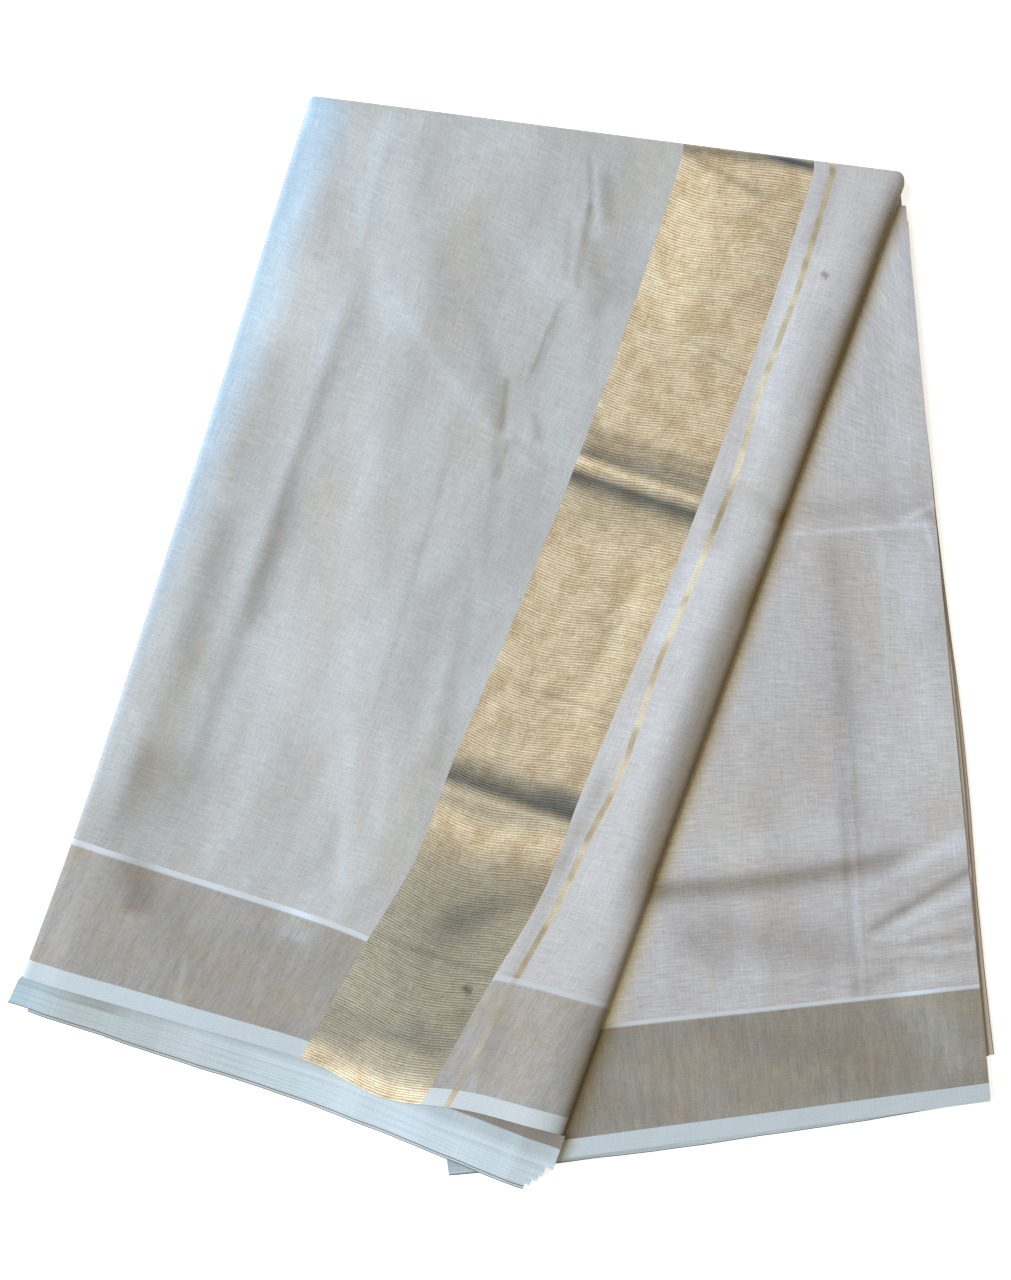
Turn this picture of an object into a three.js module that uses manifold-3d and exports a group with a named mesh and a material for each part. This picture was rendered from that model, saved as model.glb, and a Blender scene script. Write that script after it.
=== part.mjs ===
import * as THREE from 'three';
import { mergeVertices } from 'three/addons/utils/BufferGeometryUtils.js';
import Module from 'manifold-3d';

// A kasavu saree, folded to a long narrow stack and then once more across the middle.
// The upper half lies askew on the lower one, so the lower half shows as a wedge on its right.
// Millimetres, +Z up. The origin is under the middle of the footprint, on the table.

// ---------- Driving dimensions ----------

const CLOTH = 1.0; // wall of each stretch of cloth
const GAP = 0.3; // between neighbouring pieces
const HALF = 9.5; // height of one folded half, pressed flat
const FOLD_RADIUS = HALF; // the outer cloth turns over both halves at the top fold
const ROLL_RADIUS = HALF / 2; // and round one half at each side
const BACKING = CLOTH + 4 * GAP; // how far the hidden layers lie below the outer face
const LEAF_TOP = CLOTH + 2 * GAP; // and how far the layered edges do

const FOLD_START = new THREE.Vector2(-111.38, 325.26); // left end of the top fold, seen from above
const FOLD_LENGTH = 357.4;
const FOLD_SLOPE = 7.36; // degrees, down to the right

// The four long edges start at the ends of the top fold. Lean is in degrees from straight down
// the page, and it is positive to the right.
const EDGES = {
  upperLeft: { lean: -17.89, length: 550.8 },
  upperRight: { lean: -19.79, length: 606.5 },
  lowerLeft: { lean: 7.21, length: 648.1 },
  lowerRight: { lean: 5.13, length: 554.4 },
};
const LEFT_BOW = { from: 0.72, size: 4.4 }; // the upper left edge bends outwards near its end
const EDGE_BULGE = { across: 0.68, width: 0.1, size: 8.5 }; // the stiff band hangs past the edge

const BAND = { start: 219.5, width: 78, drift: 52 }; // gold band of the end piece, from the left roll
const BORDER = { upper: 83, lean: 4.2, lowerLeft: 76, lowerRight: 70 }; // from its top to the cloth's edge
const SELVEDGE = 11;

const BRIDGE = 88; // the upper half slopes down to the table over this width
const BRIDGE_LAP = 16; // and that slope starts this far inside the lower half
const FOLD_HOLD = 120; // near the top fold the upper half stays level over this length

const ROLL_TURN = 2.2; // radians that the cloth wraps round a side roll
const FOLD_TURN = 2.6; // and round the top fold
const TUCK = 3; // how far the lower cloth runs in under the upper half
const WEDGE_START = 0.035; // share of its length where the lower cloth begins, just past the fold
const LEAF_DEPTH = 26; // the layered edges reach this far in

// Layers that show past the upper half's bottom edge. The reaches are measured from that edge at
// its left end, middle and right end. Short is how far the right end stops before the upper edge.
const UPPER_LEAVES = [
  { left: 5.0, middle: 8.5, right: 22, short: -1.5 },
  { left: 8.5, middle: 13.5, right: 28, short: 3 },
  { left: 12.5, middle: 18, right: 32, short: 5 },
  { left: 16.5, middle: 22.5, right: 36, short: 8 },
  { left: 20, middle: 26.5, right: 39, short: 11 },
];
const LEAF_CORNER = { first: 1.4, more: 0.42 }; // how far their left corners stand out past that edge
const LEAF_SHOW = { first: 2, more: 1 }; // the least that each one shows past the upper edge
const LEAF_SPREAD = 1.3; // power by which the right half's reach grows

// Layers at the lower half's bottom edge: reach past the edge at the left, middle and right.
const LOWER_LEAVES = [
  { left: -1.0, middle: 0.4, right: -1 },
  { left: 0.0, middle: 2.4, right: 0 },
  { left: -0.5, middle: -1.0, right: 1 },
  { left: -1.5, middle: 0.5, right: -1.5 },
  { left: -0.8, middle: -1.5, right: 0 },
];

// Folded edges stacked at the lower half's right side: how far each reaches past its edge line.
const SIDE_FOLDS = [
  { top: -3.0, bottom: 1.5 },
  { top: -1.6, bottom: 5.2 },
  { top: -2.3, bottom: 3.0 },
];
const SIDE_DROP = 1; // they lie a little below the lower half's other layers
const TOP_INSET = { top: 3, bottom: 0.5 }; // the lower half's top cloth stops this short of the line
const SIDE_DEPTH = 20;
const SIDE_START = 0.05; // share of the edge's length where they begin
const SIDE_STEP = 0.001; // share over which the hidden layers step in behind them

// Where the hidden layers' foot stands in from their outer cloth.
const FOOT = 0.011; // share of the width, on each side
const FOOT_START = 3; // below the top fold
const ROLL_SHARE = 0.03; // share of the foot's width that lies under each roll
const LOWER_INSET = 5; // of the lower half's layers, from its left and right edges

// Creases and ridges pressed into the cloth: from one point to another, with width and height.
const UPPER_CREASES = [
  { name: 'long streak', x0: -59, y0: 302, x1: -101, y1: 96, width: 15, height: -0.8 },
  { name: 'long streak, lower part', x0: -101, y0: 96, x1: -179, y1: -70, width: 17, height: -1.0 },
  { name: 'small ridge beside it', x0: -74, y0: 290, x1: -83, y1: 237, width: 9, height: 0.6 },
  { name: 'gathered wrinkle', x0: 45, y0: 272, x1: 16, y1: 142, width: 8, height: 0.8 },
  { name: 'upper ridge across the band', x0: 47, y0: 105, x1: 119, y1: 80, width: 7, height: 1.1 },
  { name: 'lower ridge across the band', x0: -33, y0: -86, x1: 38, y1: -108, width: 7, height: 1.1 },
  { name: 'swell of the end piece', x0: 150, y0: 60, x1: 60, y1: -190, width: 14, height: 0.5 },
];
const LOWER_CREASES = [
  { name: 'pressed line', x0: 190, y0: 61, x1: 214, y1: -262, width: 6, height: 0.7 },
  { name: 'crease across', x0: 178, y0: 84, x1: 258, y1: 76, width: 6, height: 0.6 },
  { name: 'wide trough', x0: 83, y0: -156, x1: 279, y1: -118, width: 16, height: -1.0 },
];
const CREASE_FADE = 16; // creases flatten out over this length towards the fold and the rolls

// ---------- Small helpers ----------

const lerp = THREE.MathUtils.lerp;
const clamp = THREE.MathUtils.clamp;
const smooth = (x) => THREE.MathUtils.smoothstep(x, 0, 1);
const radians = THREE.MathUtils.degToRad;
const mix = (p, q, t) => p.clone().lerp(q, t);
const direction = (p, q) => q.clone().sub(p).normalize();

// The point at a distance from a start, down the page and leaning to one side.
function reach(start, { lean, length }) {
  const angle = radians(lean);
  return new THREE.Vector2(start.x + length * Math.sin(angle), start.y - length * Math.cos(angle));
}

// Where the line through p and q meets the line through r and s.
function crossing(p, q, r, s) {
  const d = q.clone().sub(p);
  const e = s.clone().sub(r);
  const share = r.clone().sub(p).cross(e) / d.cross(e);
  return p.clone().addScaledVector(d, share);
}

// Height of the creases at a point: each is a soft round-topped ridge or trough.
function relief(point, creases) {
  let height = 0;
  for (const crease of creases) {
    const start = new THREE.Vector2(crease.x0, crease.y0);
    const run = new THREE.Vector2(crease.x1, crease.y1).sub(start);
    const share = clamp(point.clone().sub(start).dot(run) / run.lengthSq(), 0, 1);
    const away = point.distanceTo(start.addScaledVector(run, share)) / crease.width;
    height += crease.height * Math.exp(-away * away);
  }
  return height;
}

// Evenly spaced numbers, ends included.
const steps = (from, to, count) => Array.from({ length: count + 1 }, (_, i) => lerp(from, to, i / count));

// ---------- The two halves, seen from above ----------

const foldEnd = new THREE.Vector2(
  FOLD_START.x + FOLD_LENGTH * Math.cos(radians(FOLD_SLOPE)),
  FOLD_START.y - FOLD_LENGTH * Math.sin(radians(FOLD_SLOPE)),
);
const alongFold = direction(FOLD_START, foldEnd);
const pastFold = new THREE.Vector2(-alongFold.y, alongFold.x);

const upperLeftEnd = reach(FOLD_START, EDGES.upperLeft);
const upperRightEnd = reach(foldEnd, EDGES.upperRight);
const lowerLeftEnd = reach(FOLD_START, EDGES.lowerLeft);
const lowerRightEnd = reach(foldEnd, EDGES.lowerRight);
const alongBottom = direction(upperLeftEnd, upperRightEnd);
const upperRightLine = direction(foldEnd, upperRightEnd);
const upperLeftLine = direction(FOLD_START, upperLeftEnd);
const lowerLeftLine = direction(FOLD_START, lowerLeftEnd);
const belowFold = (corner, line) => corner.clone().addScaledVector(line, -FOLD_RADIUS / line.dot(pastFold));

// Crest lines: where the flat top of the upper half starts to turn down, one radius in.
const crest = {
  topLeft: belowFold(FOLD_START, upperLeftLine).addScaledVector(alongFold, ROLL_RADIUS),
  topRight: belowFold(foldEnd, upperRightLine).addScaledVector(alongFold, -ROLL_RADIUS),
  bottomLeft: upperLeftEnd.clone().addScaledVector(alongBottom, ROLL_RADIUS),
  bottomRight: upperRightEnd.clone().addScaledVector(alongBottom, -ROLL_RADIUS),
};

// Across runs from 0 at the left crest to 1 at the right one, down from 0 at the fold to 1.
function upperPlan(across, down) {
  const left = mix(crest.topLeft, crest.bottomLeft, down);
  const right = mix(crest.topRight, crest.bottomRight, down);
  const bow = LEFT_BOW.size * (Math.max(down - LEFT_BOW.from, 0) / (1 - LEFT_BOW.from)) ** 2;
  const point = mix(left, right, across);
  point.x -= bow * (1 - across) ** 2;
  return point;
}

const upperLength = (across) => upperPlan(across, 0).distanceTo(upperPlan(across, 1));
const upperWidth = (down) => upperPlan(0, down).distanceTo(upperPlan(1, down));

// ---------- Heights ----------

// What the upper half lies on: the lower half, and left of it a slope down to the table.
function supportHeight(point, down) {
  const fromEdge = point.clone().sub(FOLD_START);
  const inside = fromEdge.x * -lowerLeftLine.y + fromEdge.y * lowerLeftLine.x;
  const rise = smooth((inside + BRIDGE) / (BRIDGE + BRIDGE_LAP));
  const hold = smooth((down * upperLength(0)) / FOLD_HOLD);
  return HALF * lerp(1, rise, hold);
}

// A point of the upper half's cloth with no roll or fold, at a depth below its outer face.
function upperFlat(across, down, depth) {
  const plan = upperPlan(across, down);
  const flat = smooth((down * upperLength(across)) / CREASE_FADE);
  const fromSide = Math.min(across, 1 - across) * upperWidth(down);
  const fade = flat * smooth(fromSide / CREASE_FADE);
  const z = supportHeight(plan, down) + HALF + fade * relief(plan, UPPER_CREASES) - depth;
  return new THREE.Vector3(plan.x, plan.y, z);
}

// The same with its turned edges. Across below 0 or above 1 is an angle round a side roll, and
// down below 0 is an angle round the top fold, all in radians.
function upperPoint(across, down, depth) {
  const side = across < 0 ? -1 : 1;
  const roll = across < 0 ? -across : Math.max(across - 1, 0);
  const turn = Math.max(-down, 0);
  const point = upperFlat(clamp(across, 0, 1), Math.max(down, 0), depth);
  const outwards = direction(upperPlan(0, Math.max(down, 0)), upperPlan(1, Math.max(down, 0)));
  const radius = ROLL_RADIUS - depth;
  const drop = radius * (1 - Math.cos(roll));
  const out = side * radius * Math.sin(roll);
  point.x += outwards.x * out;
  point.y += outwards.y * out;
  if (turn > 0) {
    const arm = FOLD_RADIUS - depth - drop;
    point.x += pastFold.x * arm * Math.sin(turn);
    point.y += pastFold.y * arm * Math.sin(turn);
    point.z = FOLD_RADIUS + arm * Math.cos(turn);
  } else {
    point.z -= drop;
  }
  return point;
}

// The lower half between its crest line at the fold and its bottom edge, with no turned edges.
function lowerPlan(across, down) {
  const left = mix(FOLD_START, lowerLeftEnd, down);
  const right = mix(foldEnd, lowerRightEnd, down);
  return mix(left, right, across);
}

function lowerHeight(plan, depth) {
  const fromUpper = plan.clone().sub(foldEnd);
  const clear = fromUpper.x * -upperRightLine.y + fromUpper.y * upperRightLine.x;
  return HALF + smooth(clear / CREASE_FADE) * relief(plan, LOWER_CREASES) - depth;
}

// ---------- Closed solids ----------

// Joins a grid of outer points and a grid of inner ones by a rim. Columns run to the right and
// rows down the page, so the outer face looks up.
function closedGeometry(outer, inner, columns, rows) {
  const positions = [];
  for (const face of [outer, inner]) {
    for (let row = 0; row <= rows; row++) {
      for (let column = 0; column <= columns; column++) positions.push(...face(column, row).toArray());
    }
  }
  const at = (column, row) => row * (columns + 1) + column;
  const below = (columns + 1) * (rows + 1);
  const triangles = [];
  const quad = (a, b, c, d) => triangles.push(a, b, c, a, c, d);
  for (let row = 0; row < rows; row++) {
    for (let column = 0; column < columns; column++) {
      const [a, b, c, d] = [at(column, row), at(column, row + 1), at(column + 1, row + 1), at(column + 1, row)];
      quad(a, b, c, d);
      quad(a + below, d + below, c + below, b + below);
    }
  }
  const rim = [];
  for (let row = 0; row < rows; row++) rim.push(at(0, row));
  for (let column = 0; column < columns; column++) rim.push(at(column, rows));
  for (let row = rows; row > 0; row--) rim.push(at(columns, row));
  for (let column = columns; column > 0; column--) rim.push(at(column, 0));
  rim.forEach((corner, i) => {
    const next = rim[(i + 1) % rim.length];
    quad(next, corner, corner + below, next + below);
  });
  const geometry = new THREE.BufferGeometry();
  geometry.setAttribute('position', new THREE.Float32BufferAttribute(positions, 3));
  geometry.setIndex(triangles);
  geometry.computeVertexNormals();
  return geometry;
}

// A wall of cloth: the same surface at its outer face and one thickness in.
function clothGeometry(point, columnList, rowList, thickness = CLOTH, depth = 0) {
  const face = (level) => (column, row) => point(columnList[column], rowList[row], level);
  return closedGeometry(face(depth), face(depth + thickness), columnList.length - 1, rowList.length - 1);
}

// ---------- Lines woven into the cloth ----------

const bandLeft = (down) => (BAND.start - BAND.drift * down * down) / upperWidth(down);
const bandRight = (down) => (BAND.start + BAND.width - BAND.drift * down * down) / upperWidth(down);

function upperEdge(across) {
  const away = (across - EDGE_BULGE.across) / EDGE_BULGE.width;
  return 1 + (EDGE_BULGE.size * Math.exp(-away * away)) / upperLength(across);
}
const aboveUpperEdge = (size) => (across) => upperEdge(across) - size / upperLength(across);

// A stretch of the upper half's cloth between four woven lines. Columns and rows inside run from
// 0 to 1 between the lines, and outside that they are angles round a roll or the fold.
function upperStretch({ left, right, top, bottom, columns, rows }) {
  const point = (column, row, depth) => {
    if (row < 0) {
      const across = column < 0 || column > 1 ? column : lerp(left(0), right(0), column);
      return upperPoint(across, row, depth);
    }
    let across = clamp(column, 0, 1);
    let down = row;
    for (let pass = 0; pass < 6; pass++) {
      down = lerp(top(across), bottom(across), row);
      across = lerp(left(down), right(down), clamp(column, 0, 1));
    }
    return upperPoint(column < 0 || column > 1 ? column : across, down, depth);
  };
  return clothGeometry(point, columns, rows);
}

const seam = (line, share) => (down) => line(down) + (share * GAP) / upperWidth(down);
const leftCrest = () => 0;
const rightCrest = () => 1;
const foldCrest = () => 0;

// Angles round the rolls and the fold, about half a radian apart.
const leftRoll = [-ROLL_TURN, -1.6, -1.1, -0.55];
const rightRoll = [1.55, 2.1, 2.6, 1 + ROLL_TURN];
const foldTurn = [-FOLD_TURN, -2.1, -1.6, -1.2, -0.8, -0.4];

// ---------- Materials ----------

const finish = (color, roughness, metalness = 0) => new THREE.MeshStandardMaterial({ color, roughness, metalness });
const plainCotton = finish(0xbfc2c3, 0.9);
const goldWeave = finish(0xc1ad82, 0.45, 0.6);
const fineZari = finish(0x9b978f, 0.55, 0.3);
const denseSelvedge = finish(0xd2dde3, 0.85);

// ---------- Pieces ----------

const saree = new THREE.Group();
function add(name, geometry, material) {
  const mesh = new THREE.Mesh(geometry, material);
  mesh.name = name;
  saree.add(mesh);
}

// The border widens by the lean between the band and the left roll.
const borderTop = (across) => {
  const size = BORDER.upper + BORDER.lean * clamp(1 - across / bandLeft(1), 0, 1);
  return upperEdge(across) - size / upperLength(across);
};
const selvedgeTop = aboveUpperEdge(SELVEDGE);
const edgeWith = (line, share) => (across) => line(across) + (share * GAP) / upperLength(across);

add('upper_body', upperStretch({
  left: leftCrest,
  right: seam(bandLeft, -0.5),
  top: foldCrest,
  bottom: edgeWith(borderTop, -0.5),
  columns: [...leftRoll, ...steps(0, 1, 18)],
  rows: [...foldTurn, ...steps(0, 1, 20)],
}), plainCotton);

add('upper_gold_band', upperStretch({
  left: seam(bandLeft, 0.5),
  right: seam(bandRight, -0.5),
  top: foldCrest,
  bottom: upperEdge,
  columns: steps(0, 1, 5),
  rows: [...foldTurn, ...steps(0, 1, 32)],
}), goldWeave);

add('upper_end_piece', upperStretch({
  left: seam(bandRight, 0.5),
  right: rightCrest,
  top: foldCrest,
  bottom: edgeWith(borderTop, -0.5),
  columns: [...steps(0, 1, 4), ...rightRoll],
  rows: [...foldTurn, ...steps(0, 1, 20)],
}), plainCotton);

const upperBorders = [
  { side: 'left', left: leftCrest, right: seam(bandLeft, -0.5), columns: [...leftRoll, ...steps(0, 1, 16)] },
  { side: 'right', left: seam(bandRight, 0.5), right: rightCrest, columns: [...steps(0, 1, 7), ...rightRoll] },
];
for (const { side, left, right, columns } of upperBorders) {
  add(`upper_border_${side}`, upperStretch({
    left,
    right,
    top: edgeWith(borderTop, 0.5),
    bottom: edgeWith(selvedgeTop, -0.5),
    columns,
    rows: steps(0, 1, 5),
  }), fineZari);
  add(`upper_selvedge_${side}`, upperStretch({
    left,
    right,
    top: edgeWith(selvedgeTop, 0.5),
    bottom: upperEdge,
    columns,
    rows: [0, 1],
  }), denseSelvedge);
}

// Layered edges under the upper half's bottom edge, each a step lower and a little longer.
const leafPitch = (HALF - LEAF_TOP) / UPPER_LEAVES.length;
UPPER_LEAVES.forEach((leaf, i) => {
  const inset = ROLL_RADIUS / 2; // inside the outer cloth's side rolls
  const width = upperWidth(1);
  const corner = LEAF_CORNER.first + LEAF_CORNER.more * i;
  const rows = ['inner', 'upper edge', 'past it', 'outer'];
  const point = (share, row, depth) => {
    const open = row === 'past it' || row === 'outer'; // clear of the rolls, so it can spread
    const from = open ? -ROLL_RADIUS - (row === 'outer' ? corner : 0) : inset;
    const to = open ? width + ROLL_RADIUS - leaf.short : width - inset;
    const across = lerp(from, to, share) / width;
    const length = upperLength(across);
    const edge = upperEdge(clamp(across, 0, 1));
    const late = Math.max(2 * share - 1, 0) ** LEAF_SPREAD;
    const past = lerp(leaf.left, leaf.middle, Math.min(2 * share, 1)) + late * (leaf.right - leaf.middle);
    const down = {
      inner: edge - LEAF_DEPTH / length,
      'upper edge': edge + GAP / length,
      'past it': edge + (2 * GAP) / length,
      outer: Math.max(1 + past / length, edge + (LEAF_SHOW.first + LEAF_SHOW.more * i) / length),
    }[row];
    return upperFlat(across, down, depth);
  };
  const depth = LEAF_TOP + i * leafPitch;
  const geometry = clothGeometry(point, steps(0, 1, 20), rows, leafPitch - GAP, depth);
  add(`upper_leaf_${i + 1}`, geometry, denseSelvedge);
});

// The lower half's top cloth, from under the upper half's right roll to its own right edge.
const wedgeCorner = crossing(foldEnd, upperRightEnd, lowerLeftEnd, lowerRightEnd);
function wedgePlan(share, down) {
  const inwards = new THREE.Vector2(upperRightLine.y, -upperRightLine.x);
  const left = mix(foldEnd, wedgeCorner, down).addScaledVector(inwards, TUCK);
  const inset = lerp(TOP_INSET.top, TOP_INSET.bottom, down);
  const right = mix(foldEnd, lowerRightEnd, down).sub(new THREE.Vector2(inset, 0));
  return mix(left, right, share);
}

// Its rows run parallel to the bottom edge, so distances from that edge are shares of its height.
const wedgeHeight = Math.abs(foldEnd.clone().sub(wedgeCorner).cross(direction(wedgeCorner, lowerRightEnd)));
const aboveLowerEdge = (size) => () => 1 - size / wedgeHeight;
const lowerBorderTop = (inset) => (share) => (
  1 - (lerp(BORDER.lowerLeft, BORDER.lowerRight, share) - inset) / wedgeHeight
);

function lowerStretch(top, bottom, columns, rows) {
  const point = (share, row, depth) => {
    const plan = wedgePlan(share, lerp(top(share), bottom(share), row));
    return new THREE.Vector3(plan.x, plan.y, lowerHeight(plan, depth));
  };
  return clothGeometry(point, columns, rows);
}

add('lower_body', lowerStretch(
  () => WEDGE_START,
  lowerBorderTop(-GAP / 2),
  steps(0, 1, 12),
  steps(0, 1, 18),
), plainCotton);
add('lower_border', lowerStretch(
  lowerBorderTop(GAP / 2),
  aboveLowerEdge(SELVEDGE + GAP / 2),
  steps(0, 1, 12),
  steps(0, 1, 3),
), fineZari);
add('lower_selvedge', lowerStretch(
  aboveLowerEdge(SELVEDGE - GAP / 2),
  () => 1,
  steps(0, 1, 12),
  [0, 1],
), denseSelvedge);

// Layered edges along the lower half's bottom.
const lowerEdgeLength = EDGES.lowerRight.length;
LOWER_LEAVES.forEach((leaf, i) => {
  const point = (share, row, depth) => {
    const sag = 4 * share * (1 - share);
    const outer = lerp(leaf.left, leaf.right, share) + sag * (leaf.middle - (leaf.left + leaf.right) / 2);
    const plan = lowerPlan(share, 1 + (row === 0 ? -LEAF_DEPTH : outer) / lowerEdgeLength);
    return new THREE.Vector3(plan.x, plan.y, HALF - depth);
  };
  const depth = LEAF_TOP + i * leafPitch;
  add(`lower_leaf_${i + 1}`, clothGeometry(point, steps(0, 1, 16), [0, 1], leafPitch - GAP, depth), denseSelvedge);
});

// Folded edges stacked along the lower half's right side.
const sidePitch = (HALF - LEAF_TOP - SIDE_DROP) / SIDE_FOLDS.length;
SIDE_FOLDS.forEach((fold, i) => {
  const point = (share, row, depth) => {
    const down = lerp(SIDE_START, 1 - (LEAF_DEPTH + GAP) / lowerEdgeLength, row);
    const width = lowerPlan(0, down).distanceTo(lowerPlan(1, down));
    const wedge = wedgePlan(0, down).distanceTo(wedgePlan(1, down));
    const inner = Math.min(SIDE_DEPTH, wedge - TUCK);
    const outer = lerp(fold.top, fold.bottom, row * row);
    const plan = lowerPlan(1 + lerp(-inner, outer, share) / width, down);
    return new THREE.Vector3(plan.x, plan.y, HALF - depth);
  };
  const depth = LEAF_TOP + SIDE_DROP + i * sidePitch;
  add(`lower_side_fold_${i + 1}`, clothGeometry(point, [0, 1], steps(0, 1, 12), sidePitch - GAP, depth), plainCotton);
});

// ---------- The hidden layers ----------

const wasm = await Module();
wasm.setup();

function toSolid(geometry) {
  const bare = geometry.clone();
  bare.deleteAttribute('normal');
  const merged = mergeVertices(bare, 1e-4);
  return new wasm.Manifold(new wasm.Mesh({
    numProp: 3,
    vertProperties: new Float32Array(merged.attributes.position.array),
    triVerts: new Uint32Array(merged.index.array),
  }));
}

// Back to a geometry, with the shortest edges that a join leaves closed up.
function fromSolid(solid) {
  const mesh = solid.getMesh();
  const joined = new THREE.BufferGeometry();
  joined.setAttribute('position', new THREE.BufferAttribute(mesh.vertProperties, 3));
  joined.setIndex(new THREE.BufferAttribute(mesh.triVerts, 1));
  const geometry = mergeVertices(joined, 0.02);
  const corners = geometry.index.array;
  const kept = [];
  for (let i = 0; i < corners.length; i += 3) {
    const [a, b, c] = corners.slice(i, i + 3);
    if (a !== b && b !== c && c !== a) kept.push(a, b, c);
  }
  geometry.setIndex(kept);
  geometry.computeVertexNormals();
  return geometry;
}

const CORE_TURN = Math.PI / 2; // the hidden layers are rounded down to the rolls' widest line
const coreColumns = [
  ...steps(-CORE_TURN, 0, 3).slice(0, -1),
  ...steps(0, 1, 16),
  ...steps(1, 1 + CORE_TURN, 3).slice(1),
];
function footAt(column) {
  const across = coreColumns[column];
  const flat = clamp(across, 0, 1);
  const share = lerp(ROLL_SHARE, 1 - ROLL_SHARE, flat) + (ROLL_SHARE * (across - flat)) / CORE_TURN;
  return lerp(FOOT, 1 - FOOT, share);
}

// The upper half's layers and the rounded nose inside the top fold, filled down to just above the
// table. Rows below 0 are angles round the fold.
function upperCore() {
  const rowList = [...steps(-Math.PI, 0, 7).slice(0, -1), ...steps(0, 1, 14)];
  const rows = rowList.length - 1;
  const endAt = (across) => upperEdge(across) - (LEAF_DEPTH + CLOTH) / upperLength(across);
  const outer = (column, row) => {
    const turn = rowList[row];
    const down = turn < 0 ? turn : turn * endAt(clamp(coreColumns[column], 0, 1));
    return upperPoint(coreColumns[column], down, BACKING);
  };
  const inner = (column, row) => {
    const across = footAt(column);
    const plan = upperPlan(across, lerp(FOOT_START / upperLength(across), endAt(across), row / rows));
    return new THREE.Vector3(plan.x, plan.y, GAP);
  };
  return closedGeometry(outer, inner, coreColumns.length - 1, rows);
}

// The lower half's layers, inside its layered edges.
function lowerCore() {
  const columns = 10;
  const rowList = [
    (FOLD_RADIUS + CLOTH) / lowerEdgeLength,
    SIDE_START - 2 * SIDE_STEP,
    SIDE_START - SIDE_STEP,
    ...steps(SIDE_START, 1 - (LEAF_DEPTH + CLOTH) / lowerEdgeLength, 10).slice(1),
  ];
  const plan = (column, row) => {
    const down = rowList[row];
    const width = lowerPlan(0, down).distanceTo(lowerPlan(1, down));
    const right = row < 2 ? LOWER_INSET : SIDE_DEPTH + GAP;
    return lowerPlan(lerp(LOWER_INSET / width, 1 - right / width, column / columns), down);
  };
  const at = (column, row, height) => {
    const point = plan(column, row);
    return new THREE.Vector3(point.x, point.y, height(point));
  };
  const outer = (column, row) => at(column, row, (point) => lowerHeight(point, BACKING));
  const inner = (column, row) => at(column, row, () => 0);
  return closedGeometry(outer, inner, columns, rowList.length - 1);
}

const core = toSolid(upperCore()).add(toSolid(lowerCore()));
add('hidden_layers', fromSolid(core), plainCotton);

export default saree;
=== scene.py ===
# %% [markdown]
# # A folded kasavu saree
# A kasavu saree is one long piece of off-white cotton with a gold band near its end and a border
# woven along both long edges. Here it is folded to a stack of about seventeen layers, and the
# stack is folded once more, a little askew, so that the lower half shows as a wedge on the right.
#
# Cloth like this could be made with a simulation, but a pressed fold keeps its shape, and the
# lines woven into it have to stay where the loom put them. So each stretch is a surface worked
# out as a formula, with creases added one by one, and the lines are places on that surface.

# %% Frame and tools
import math

import bpy
import numpy as np
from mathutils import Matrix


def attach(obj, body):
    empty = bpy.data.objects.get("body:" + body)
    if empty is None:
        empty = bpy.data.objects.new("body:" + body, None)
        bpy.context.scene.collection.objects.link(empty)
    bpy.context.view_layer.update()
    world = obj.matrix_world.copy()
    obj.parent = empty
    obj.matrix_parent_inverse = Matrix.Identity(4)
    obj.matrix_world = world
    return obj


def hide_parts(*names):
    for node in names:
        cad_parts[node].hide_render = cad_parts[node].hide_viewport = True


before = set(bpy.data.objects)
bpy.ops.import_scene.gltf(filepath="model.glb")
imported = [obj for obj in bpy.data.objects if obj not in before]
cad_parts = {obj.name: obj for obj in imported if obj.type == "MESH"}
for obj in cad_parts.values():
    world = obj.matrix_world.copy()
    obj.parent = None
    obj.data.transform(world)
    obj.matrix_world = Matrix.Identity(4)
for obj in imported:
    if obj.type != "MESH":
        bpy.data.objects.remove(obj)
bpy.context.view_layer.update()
MM = 0.001  # all sizes below are in millimetres until they go into a mesh
print("nodes to dress:", len(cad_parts))

# %% [markdown]
# ## Sizes of the folded stack
# The real cloth is about 1.19 m wide, and both halves and the turn between them use all of it.
# The same few sizes that drive the solids are named here again, because the surfaces of the
# cloth have to lie on them. Points seen from above are pairs of numbers, x to the right and y
# up the page.

# %% Driving sizes
CLOTH = 0.5  # wall of a cloth shell
HALF = 9.5  # height of one folded half
ROLL_RADIUS = HALF / 2  # of the rolled sides
BACKING = 2.2  # the hidden layers start this far below the outer face
LEAF_TOP = 1.6  # and the layered edges this far
LEAF_PITCH = (HALF - LEAF_TOP) / 5
LEAF_DEPTH = 26  # the layered edges reach this far in
TABLE_GAP = 0.3  # between the upper half's hidden layers and the table

FOLD_START = np.array([-111.38, 325.26])
FOLD_LENGTH = 357.4
FOLD_SLOPE = 7.36  # degrees
UPPER_LEFT, UPPER_RIGHT = (-17.89, 550.8), (-19.79, 606.5)  # lean and length of each long edge
LOWER_LEFT, LOWER_RIGHT = (7.21, 648.1), (5.13, 554.4)
LEFT_BOW_FROM, LEFT_BOW = 0.72, 4.4  # the upper half's left edge bows out near its end
BULGE_AT, BULGE_WIDTH, BULGE = 0.68, 0.1, 8.5  # and its bottom edge bulges at the band
BAND_START, BAND_WIDTH, BAND_DRIFT = 219.5, 78, 52
UPPER_BORDER, BORDER_LEAN, SELVEDGE = 83, 4.2, 11  # each border's height includes its selvedge
LOWER_BORDER_LEFT, LOWER_BORDER = 76, 70  # the lower half's border is askew: wider at its left
BRIDGE, BRIDGE_LAP = 88, 16  # the slope to the table starts past the lower half and ends on it
FOLD_HOLD = 120  # the fold holds that slope up over this length
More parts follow.
